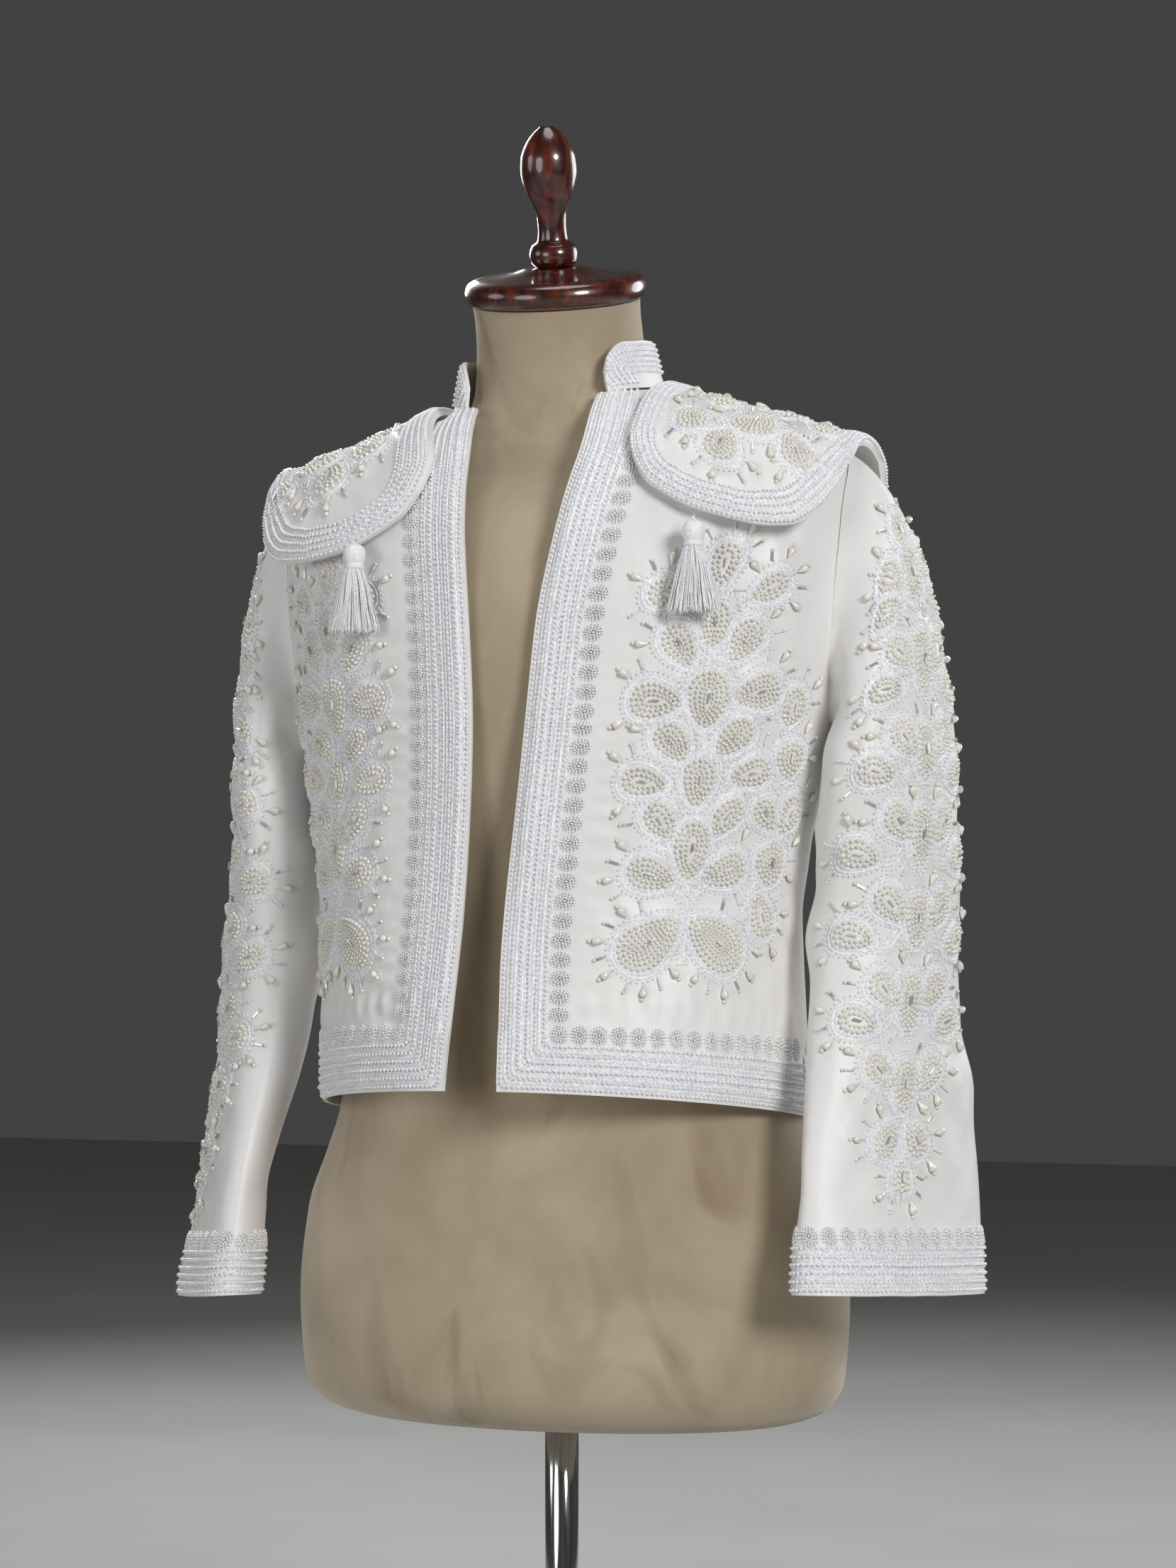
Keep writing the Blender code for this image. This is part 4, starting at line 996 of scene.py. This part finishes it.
def sleeveGrid(turns, steps, rowsDown):
    topness = ((1 + np.sin(turns)) / 2) ** 1.3
    low, high = np.array([0.012, 0, 0.0]), np.array([0.160, 0, -0.110])
    pull = low + (high - low) * topness[:, None]
    lowEnd, highEnd = np.array([0, 0, -0.040]), np.array([0.010, 0, -0.200])
    leave = lowEnd + (highEnd - lowEnd) * topness[:, None]
    first = armholeRing(turns, pull)
    last = sleeveSection(np.full(len(turns), sleeveTable[0][0]), turns)
    rows = []
    for s in steps:
        rows.append((2 * s**3 - 3 * s**2 + 1) * first + (s**3 - 2 * s**2 + s) * pull
                    + (3 * s**2 - 2 * s**3) * last + (s**3 - s**2) * leave)
    top, bottom = sleeveTable[0][0], sleeveTable[-1][0]
    for z in np.linspace(top, bottom, rowsDown):
        section = sleeveSection(np.full(len(turns), z), turns)
        section[:, 2] -= 0.006 * np.cos(turns) * ease((top - z) / (top - bottom)) ** 2
        rows.append(section)
    return np.stack(rows)


def sleeveCloth(side):
    name = "sleeve_left" if side > 0 else "sleeve_right"
    settings = {"round": 88, "cap": 22, "down": 66, "border": 0.0012}
    # the turns start at the inner line of the arm, so that the outer line is in the middle
    turns = np.radians(-90) + np.arange(settings["round"]) * 2 * math.pi / settings["round"]
    steps = np.linspace(0, 1, settings["cap"], endpoint=False) ** 1.15
    base = sleeveGrid(turns, steps, settings["down"])
    normal = normalsOf(base, True)
    bottom = sleeveTable[-1][0]
    round_ = np.broadcast_to(turns, base.shape[:2])
    fade = np.interp(np.arange(len(base)), (0, 4, 12), (0, 0, 1))[:, None]
    depth = np.zeros(base.shape[:2])
    for height, middle, slope, tall, wide, most in sleeveFolds:
        off = (np.degrees(round_) - middle + 180) % 360 - 180
        above = base[..., 2] - height - slope * off
        depth += 1.8 * most * np.exp(-((above / tall) ** 2) - (off / wide) ** 2)
    lowered = base[..., 2] - bottom + 0.006 * np.cos(round_)
    # distances on the cloth, from the cuff and from the outer line
    upRows = np.concatenate([[0], np.cumsum(np.linalg.norm(np.diff(base[::-1, 44], axis=0), axis=1))])[::-1]
    up = np.broadcast_to(upRows[:, None], depth.shape)
    ring = np.linalg.norm(np.roll(base, -1, axis=1) - base, axis=2)
    around = np.cumsum(ring, axis=1) - ring
    around = around - around[:, 44:45]
    petals = sleevePetals()
    raised = petalRise(around, up, petals, 0.0016)
    pucker = 0.0010 * ripple(around * 230, up * 150, 31 + side) * ease((0.070 - np.abs(around)) / 0.02)
    pucker += 0.0015 * ripple(around * 45, up * 36, 37 + side)
    rise = np.maximum(settings["border"] * (1 - ease((lowered - 0.034) / 0.006)), raised * fade)
    inner = base + normal * ((pucker - depth) * fade)[..., None]
    outer = inner + normal * (wall + rise)[..., None]
    inner, outer = (settleSleeve(grid * (side, 1, 1), side) for grid in (inner, outer))
    piece = shell(name + "_satin", outer, inner, True, satin, (name,))
    # laid out flat, cuff first; across is towards the front on the left sleeve
    laid, under = (np.concatenate([grid, grid[:, :1]], axis=1)[::-1] for grid in (outer, inner))
    cloth = clothMap(laid, under, 44, slice(28, 60))
    work = Work(cloth)

    def cuffLine(inset):
        row = int(inset / mapStep)
        girth = np.linspace(cloth["least"][row] + 0.001, cloth["most"][row] - 0.001, 140)
        return np.stack([girth, np.full(140, inset)], -1)

    bandAlong(work, cuffLine, (0.0030, 0.0085, 0.0140, 0.0195, 0.0250, 0.0305), chainRows(0.0058, 0.0295))
    rosettes(work, [(cloth["least"][19] + 0.001, 0.0385), (cloth["most"][19] - 0.001, 0.0385)])
    for s, h, long, short, turn in petals:
        petal(work, (s, h), long, short, turn)
    mid = sleeveMiddle
    stem(work, [(mid, 0.088), (mid, 0.110)])
    for k, wide in enumerate(sleeveWidths):
        h = 0.136 + 0.056 * k
        stem(work, [(mid, h - 0.012), (mid, h - 0.018)], 0.0036)
        for way in (-1, 1):
            stem(work, [(mid, h - 0.014), (mid + 0.009 * way, h - 0.006), (mid + 0.0140 * way, h + 0.001)],
                 0.0036)
            if k:
                reach = mid + 0.031 * wide * way
                stem(work, [(mid + 0.0140 * way, h - 0.004), (mid + 0.022 * way, h - 0.014),
                            (reach, h - 0.013)], 0.0036)
    rays(work, 0.004, 0.0100, lambda p: (np.abs(p[:, 0] - mid) < 0.075) & (p[:, 1] > 0.055) & (p[:,
                                                                                                 1] < 0.530))
    extras = work.make(name)
    under = ["front_left_satin" if side > 0 else "front_right_satin"]


def collarCloth():
    fit = math.radians(37.0)
    turns, ups = np.linspace(fit, 2 * math.pi - fit, 150), np.linspace(0, 1, 14)
    ups, angles = np.meshgrid(ups, turns, indexing="ij")
    folded = np.where(angles > math.pi, 2 * math.pi - angles, angles)
    base = bodyPoint(neckZ(folded), folded) + bodyNormal(neckZ(folded), folded) * (wall + 0.00045)
    base[..., 0] *= np.where(angles > math.pi, -1, 1)
    radial = base * (1, 1, 0)
    radial /= np.linalg.norm(radial, axis=-1, keepdims=True)
    fromEnd = np.minimum(angles, 2 * math.pi - angles) - fit
    corner = 0.40 + 0.60 * np.sqrt(1 - (1 - np.clip(fromEnd * 0.075 / 0.021, 0, 1)) ** 2)
    inward = -0.0085 * (0.3 + 0.7 * ease((folded - fit) / 0.4)) * ups
    lift = np.zeros_like(base)
    lift[..., 2] = 0.033 * corner * ups + 0.0009
    inner = base + lift + radial * (inward[..., None] - 0.0026 * 0.6)
    outer = settle(inner + radial * 0.0026)
    inner = settle(inner)
    piece = shell("collar_satin", outer, inner, False, satin, ("collar",))
    cloth = clothMap(outer, inner, 75, slice(20, 130))
    work = Work(cloth)
    least, most = cloth["least"][4], cloth["most"][4]

    def upperLine(inset):
        # up one rounded end, along the top and down the other
        low, top = 0.004, cloth["top"] - inset * 0.92
        side = np.linspace(low, max(low + 0.001, top * 0.55), 12)
        corner = np.linspace(0, math.pi / 2, 8)
        r = max(0.0195 - inset, 0.002)
        left = [(least + inset, h) for h in side if h < top - r]
        left += [(least + inset + r - r * math.cos(a), top - r + r * math.sin(a)) for a in corner]
        right = [(most + least - x, h) for x, h in left][::-1]
        return np.array(left + right)

    bandAlong(work, upperLine, (0.0022, 0.0068, 0.0112, 0.0156, 0.0200, 0.0244), chainRows(0.0046, 0.0250))
    extras = work.make("collar")


# along from the inner end, out from the ridge to the front, half length, half width, turn
epaulettePetals = (
    (0.0860, 0.0620, 0.0190, 0.0155, 90), (0.0440, 0.0800, 0.0140, 0.0105, 70),
    (0.0690, 0.0980, 0.0140, 0.0105, 95), (0.1180, 0.0760, 0.0140, 0.0105, 60),
    (0.0520, 0.0300, 0.0150, 0.0105, 50), (0.0960, 0.0145, 0.0150, 0.0100, 0),
    (0.1300, 0.0330, 0.0120, 0.0085, 40),
)
epauletteStems = (  # along and out again
    ((0.0700, 0.0700), (0.0600, 0.0750)), ((0.0800, 0.0820), (0.0750, 0.0880)),
    ((0.1000, 0.0680), (0.1070, 0.0710)),
    ((0.0640, 0.0400), (0.0740, 0.0480)), ((0.0920, 0.0400), (0.0940, 0.0280)),
    ((0.1230, 0.0430), (0.1220, 0.0600)),
)


def epauletteCloth(side):
    name = "epaulette_left" if side > 0 else "epaulette_right"
    dense = np.linspace(1.0186, 0.9700, 400)
    control = np.array([0.0785, 0.0815, 0.087, 0.097, 0.113, 0.132, 0.151, 0.169, 0.184, 0.196, 0.205, 0.210,
                        0.2125])
    xs = np.interp(np.linspace(0, 12, 49), np.arange(13), control)
    fall = smoothRead(epauletteFall, 1, xs)
    if side < 0:
        xs = xs[0] + (xs - xs[0]) * 0.925
    ridge = np.interp(xs, smoothRead(epauletteLevels, 1, dense), dense)
    extra = 0.012 * (1 - 0.7 * ease((xs - 0.12) / 0.06)) if side < 0 else 0
    fall = fall + extra * ease((fall - 0.02) / 0.03)
    parts = np.linspace(-1, 1, 73)
    inner = np.zeros((len(xs), len(parts), 3))
    for i, start in enumerate(xs):
        slant = (0.003 if side > 0 else 0.020) * ease((0.150 - start) / 0.072)
        x = start - slant * np.where(parts < 0, parts**2, 0)
        z = ridge[i] - fall[i] * parts**2
        width = smoothRead(epauletteLevels, 1, z)
        depth = np.where(parts < 0, smoothRead(epauletteLevels, 2, z), smoothRead(epauletteLevels, 3, z))
        inner[i] = np.stack([x, np.sign(parts) * depth * np.sqrt(np.clip(1 - (x / width) ** 2, 0, 1)), z], -1)
    normal = normalsOf(inner)
    if normal[24, 36, 2] < 0:
        normal = -normal
    inner = inner + normal * (0.0006 if side < 0 else -0.0003)
    # flat distances: along the ridge from the inner end, and out from the ridge
    out = np.zeros(inner.shape[:2])
    out[:, 1:] = np.cumsum(np.linalg.norm(np.diff(inner, axis=1), axis=2), axis=1)
    out -= out[:, 36:37]
    rowSteps = np.linalg.norm(np.diff(inner[:, 16:57], axis=0), axis=2).mean(axis=1)
    ridgeAlong = np.concatenate([[0], np.cumsum(rowSteps)])
    line = np.broadcast_to(ridgeAlong[:, None], out.shape)
    both = [(s, h, a, b, t) for h, s, a, b, t in epaulettePetals]
    both += [(-s, h, a, b, -t) for s, h, a, b, t in both if s > 0.005]
    fromSides = np.minimum(out - out[:, :1], out[:, -1:] - out)
    edge = np.minimum(fromSides, np.minimum(line, ridgeAlong[-1] - line))
    puff = 0.0012 * ease(edge / 0.004) + 0.0012 * band(edge, 0.0025, 0.019)
    puff += petalRise(-out, line, both, 0.0018)
    puff += 0.0012 * ripple(out * 330, line * 330, 51 + side) * ease((edge - 0.02) / 0.01)
    outer = inner + normal * (0.0035 + puff)[..., None]
    inner, outer = (settle(grid * (side, 1, 1)) for grid in (inner, outer))
    piece = shell(name + "_satin", outer, inner, False, satin, (name,))
    # from the back edge to the front edge
    cloth = clothMap(outer[:, ::-1], inner[:, ::-1], 36, slice(16, 57))
    work = Work(cloth)
    rim = outlineOf(cloth)

    def rimLine(inset):
        return shrink(rim, inset)

    bandAlong(work, rimLine, (0.0018, 0.0062, 0.0106, 0.0150, 0.0194), chainRows(0.0040, 0.0200))
    for s, h, long, short, turn in both:
        petal(work, (s, h), long, short, turn)
    for line in epauletteStems:
        for way in (-1, 1):
            stem(work, [(way * s, h) for h, s in line], 0.0034)
    inward = shrink(rim, 0.024)
    rays(work, 0.022, 0.0100, lambda p: within(inward, p))
    extras = work.make(name)


def outlineOf(cloth):
    rows = np.arange(1, len(cloth["least"]) - 1)
    ups = rows * mapStep
    left = np.stack([cloth["least"][rows], ups], -1)
    right = np.stack([cloth["most"][rows], ups], -1)[::-1]
    line = np.concatenate([left, right, left[:1]])
    line = evenly(line, 0.004)
    for _ in range(6):  # soften the corners
        core = line[:-1]
        core = 0.5 * core + 0.25 * (np.roll(core, 1, axis=0) + np.roll(core, -1, axis=0))
        line = np.concatenate([core, core[:1]])
    return line


def shrink(line, inset):
    core = line[:-1]
    step = np.roll(core, -1, axis=0) - np.roll(core, 1, axis=0)
    step /= np.maximum(np.linalg.norm(step, axis=1, keepdims=True), 1e-12)
    away = np.stack([step[:, 1], -step[:, 0]], -1)
    centre = core.mean(axis=0)
    if ((centre - core) * away).sum() < 0:
        away = -away
    moved = core + away * inset
    gap = np.linalg.norm(moved[:, None] - core[None], axis=2).min(axis=1)
    moved = moved[gap > inset * 0.93]
    return np.concatenate([moved, moved[:1]])


def within(line, spots):
    x, y = spots[:, 0], spots[:, 1]
    good = np.zeros(len(spots), bool)
    for (x0, y0), (x1, y1) in zip(line[:-1], line[1:]):
        cross = ((y0 > y) != (y1 > y)) & (x < (x1 - x0) * (y - y0) / ((y1 - y0) or 1e-12) + x0)
        good ^= cross
    return good


def tassel(side):
    name = "tassel_left" if side > 0 else "tassel_right"
    x, y, top = (0.135, -0.1175, 0.9190) if side > 0 else (-0.102, -0.1254, 0.9110)
    settings = {"threads": 460, "length": 0.0585, "thick": 0.00034, "steps": 7}
    at = np.array([x, y, top])
    head = smoothProfile(((0.0004, 0.0006), (0.0032, 0.0), (0.0064, -0.0022), (0.0077, -0.0068),
                          (0.0068, -0.0115),
                          (0.0060, -0.0130), (0.0064, -0.0142), (0.0066, -0.0160), (0.0050, -0.0168)), 34)
    lathe(name + "_head", head, 40, silk, (np.eye(3), at), (name,))
    rng = np.random.default_rng(70 + side)
    count, steps = settings["threads"], settings["steps"]
    turn = rng.uniform(0, 2 * math.pi, count)
    reach = np.sqrt(rng.uniform(0.02, 1, count))
    t = np.linspace(0, 1, steps)[None, :]
    spread = 0.0054 + 0.0128 * t**0.85
    drift = rng.normal(0, 0.0007, (count, 1)) * t
    drift = drift + 0.0003 * np.sin(t * rng.uniform(4, 11, (count, 1)) + turn[:, None])
    px = np.cos(turn)[:, None] * reach[:, None] * spread + drift
    py = np.sin(turn)[:, None] * reach[:, None] * (0.0054 + 0.0040 * t) + drift * 0.4
    length = settings["length"] - 0.0150 + rng.normal(0, 0.0011, (count, 1))
    pz = -0.0150 - length * t
    path = np.stack([px, py, pz], -1) + at
    ways = np.radians((90, 210, 330))
    side3 = np.stack([np.cos(ways), np.sin(ways), 0 * ways], -1) * settings["thick"]
    points = (path[:, :, None] + side3[None, None]).reshape(-1, 3)
    faces = np.concatenate([shellFaces(steps, 3, True) + k * steps * 3 for k in range(count)])
    toPiece(name + "_threads", points, faces, silk)
    # the hanging loop, from the head up to the rim above it
    rise = 0.0050 if side > 0 else 0.0030
    t = np.linspace(0, 1, 12)
    loop = np.stack([0.0011 * np.sin(t * math.pi * 2), 0.0022 * t, rise * t - 0.001], -1) + at
    ring = np.radians(np.arange(6) * 60)
    tube = (loop[:, None] + np.stack([np.cos(ring), np.sin(ring), 0 * ring], -1)[None] * 0.0008).reshape(-1,
                                                                                                         3)
    toPiece(name + "_loop", tube, shellFaces(12, 6, True), silk)
    stage(name)


def formTorso():
    sides = 96
    turns = np.arange(sides) * 2 * math.pi / sides
    rings = []
    foot = (0.3195, 0.3200, 0.3206, 0.3216, 0.3232, 0.326, 0.3300, 0.335, 0.341)
    for z in np.concatenate([foot, np.linspace(0.348, 0.495, 18)]):
        a, f, b, y = (smoothRead(hips, c, z) for c in range(1, 5))
        depth = np.where(np.cos(turns) > 0, f, b)
        rings.append(np.stack([a * np.sin(turns), y - depth * np.cos(turns), np.full(sides, max(z, 0.32))],
                              -1))
    for z in np.concatenate([np.linspace(0.505, 0.93, 40), np.linspace(0.937, 1.045, 26)]):
        rings.append(bodyPoint(np.full(sides, z), turns, (1, 2, 3)))
    base = (1.045, 0.0595, 0.0570, -0.001, 0.0, 0.0)
    table = [(row[0], *row) for row in (base,) + neckRings]
    for z in np.linspace(1.045, 1.086, 10)[1:]:
        _, a, b, y, tip, turn = (smoothRead(table, c, z) for c in range(1, 7))
        rings.append(neckRing(z, a, b, y, tip, turn, turns))
    grid = settle(np.stack(rings))
    rows = len(grid)
    faces = [tuple(f) for f in shellFaces(rows, sides, True).tolist()]
    faces.append(tuple(range(sides))[::-1])
    faces.append(tuple((rows - 1) * sides + k for k in range(sides)))
    toPiece("form_torso_suede", grid.reshape(-1, 3), faces, suede, ("form_torso",))
    top = grid[-1]
    centre = top.mean(axis=0)
    upward = Vector(np.cross(top[24] - top[72], top[48] - top[0])).normalized()
    turn = np.array(Vector((0, 0, 1)).rotation_difference(upward).to_matrix())
    return turn, centre


def neckRing(z, a, b, y, tip, aside, turns):
    tip, aside = math.radians(tip), math.radians(aside)
    flat = np.stack([a * np.sin(turns), -b * np.cos(turns), 0 * turns], -1)
    turnX = np.array([[1, 0, 0], [0, math.cos(tip), -math.sin(tip)], [0, math.sin(tip), math.cos(tip)]])
    turnY = np.array([[math.cos(aside), 0, math.sin(aside)], [0, 1, 0],
                      [-math.sin(aside), 0, math.cos(aside)]])
    return flat @ (turnX @ turnY).T + np.array([0, y, z])


def turnedTop(place):
    turn, centre = place
    cap = smoothProfile(((0.0555, 0.0), (0.0610, 0.003), (0.0630, 0.009), (0.0615, 0.0145), (0.0560, 0.018),
                         (0.0420, 0.0195), (0.0300, 0.0215), (0.0200, 0.0245)), 34)
    lathe("neck_cap_wood", cap, 72, wood, (turn, centre + turn @ np.array([0, 0, 0.0003])),
          ("neck_cap",))
    knob = smoothProfile(((0.0130, 0.0), (0.0162, 0.004), (0.0168, 0.009), (0.0150, 0.0145), (0.0108, 0.018),
                          (0.0098, 0.026), (0.0102, 0.034), (0.0130, 0.043), (0.0175, 0.054), (0.0196, 0.065),
                          (0.0190, 0.074), (0.0152, 0.084), (0.0098, 0.091), (0.0045, 0.0955)), 56)
    lathe("finial_wood", knob, 48, wood, (turn, centre + turn @ np.array([0, 0, 0.0251])),
          ("finial",))


def standBelow():
    pole = ((0.0112, 0.0453), (0.0115, 0.0456), (0.0115, 0.180), (0.0115, 0.3194), (0.0112, 0.3197))
    lathe("pole_tube", pole, 40, steel, None, ("pole",))
    base = smoothProfile(((0.156, 0.0), (0.160, 0.003), (0.160, 0.009), (0.152, 0.014), (0.050, 0.019),
                          (0.022, 0.032),
                          (0.018, 0.045)), 34)
    lathe("base_iron", base, 96, iron, None, ("base",))


standBelow()
turnedTop(formTorso())
stage("form and stand")
for side in (1, -1):
    frontCloth(side)
backCloth()
for side in (1, -1):
    sleeveCloth(side)
collarCloth()
for side in (1, -1):
    epauletteCloth(side)
    tassel(side)


def studio():
    bpy.ops.mesh.primitive_plane_add(size=14)
    floor = bpy.context.object
    floor.name = "floor"
    material, shader = newMaterial("pale painted floor", roughness=0.75)
    place = add(material, "ShaderNodeTexCoord").outputs["Object"]
    tone = add(material, "ShaderNodeTexNoise", {"Vector": place}, in_Scale=3.0)
    colour = ramp(material, tone.outputs["Fac"], ((0.3, "B4B4B2"), (0.7, "BABAB8")))
    link(material, colour.outputs["Color"], shader, "Base Color")
    floor.data.materials.append(material)
    world = bpy.data.worlds.new("soft studio")
    scene.world = world
    world.use_nodes = True
    world.node_tree.nodes["Background"].inputs["Color"].default_value = rgb("6A6B6A")
    world.node_tree.nodes["Background"].inputs["Strength"].default_value = 0.37
    lights = (  # name, place, aim height, size, power
        ("key", (2.2, -1.8, 1.7), 0.8, 0.9, 47), ("fill", (-0.9, -2.7, 0.9), 0.6, 1.4, 17),
        ("side", (-2.4, -1.4, 1.4), 0.8, 1.2, 8),
        ("rim", (-1.6, 1.9, 2.0), 0.9, 1.2, 36), ("back", (1.5, 2.2, 1.6), 0.8, 1.6, 30),
        ("top", (0.2, -0.4, 2.9), 0.9, 1.2, 12),
    )
    for name, spot, aim, size, power in lights:
        lamp = bpy.data.lights.new(name, "AREA")
        lamp.shape, lamp.size, lamp.energy = "DISK", size, power
        obj = bpy.data.objects.new(name, lamp)
        obj.location = spot
        obj.rotation_euler = (Vector((0, 0, aim)) - Vector(spot)).to_track_quat("-Z", "Y").to_euler()
        scene.collection.objects.link(obj)


def camera():
    turn, distance, height, aim, aside = math.radians(20), 2.5, 0.667, 0.753, 0.018
    data = bpy.data.cameras.new("camera")
    obj = bpy.data.objects.new("camera", data)
    scene.collection.objects.link(obj)
    right = Vector((math.cos(turn), math.sin(turn), 0))
    spot = Vector((distance * math.sin(turn), -distance * math.cos(turn), height)) + right * aside
    target = Vector((0, 0, aim)) + right * aside
    obj.location = spot
    obj.rotation_euler = (target - spot).to_track_quat("-Z", "Y").to_euler()
    data.sensor_fit = "VERTICAL"
    data.sensor_height = 36
    data.lens = 83
    scene.camera = obj


studio()
camera()
scene.view_settings.view_transform = "Standard"
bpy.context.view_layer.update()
stage("finished")
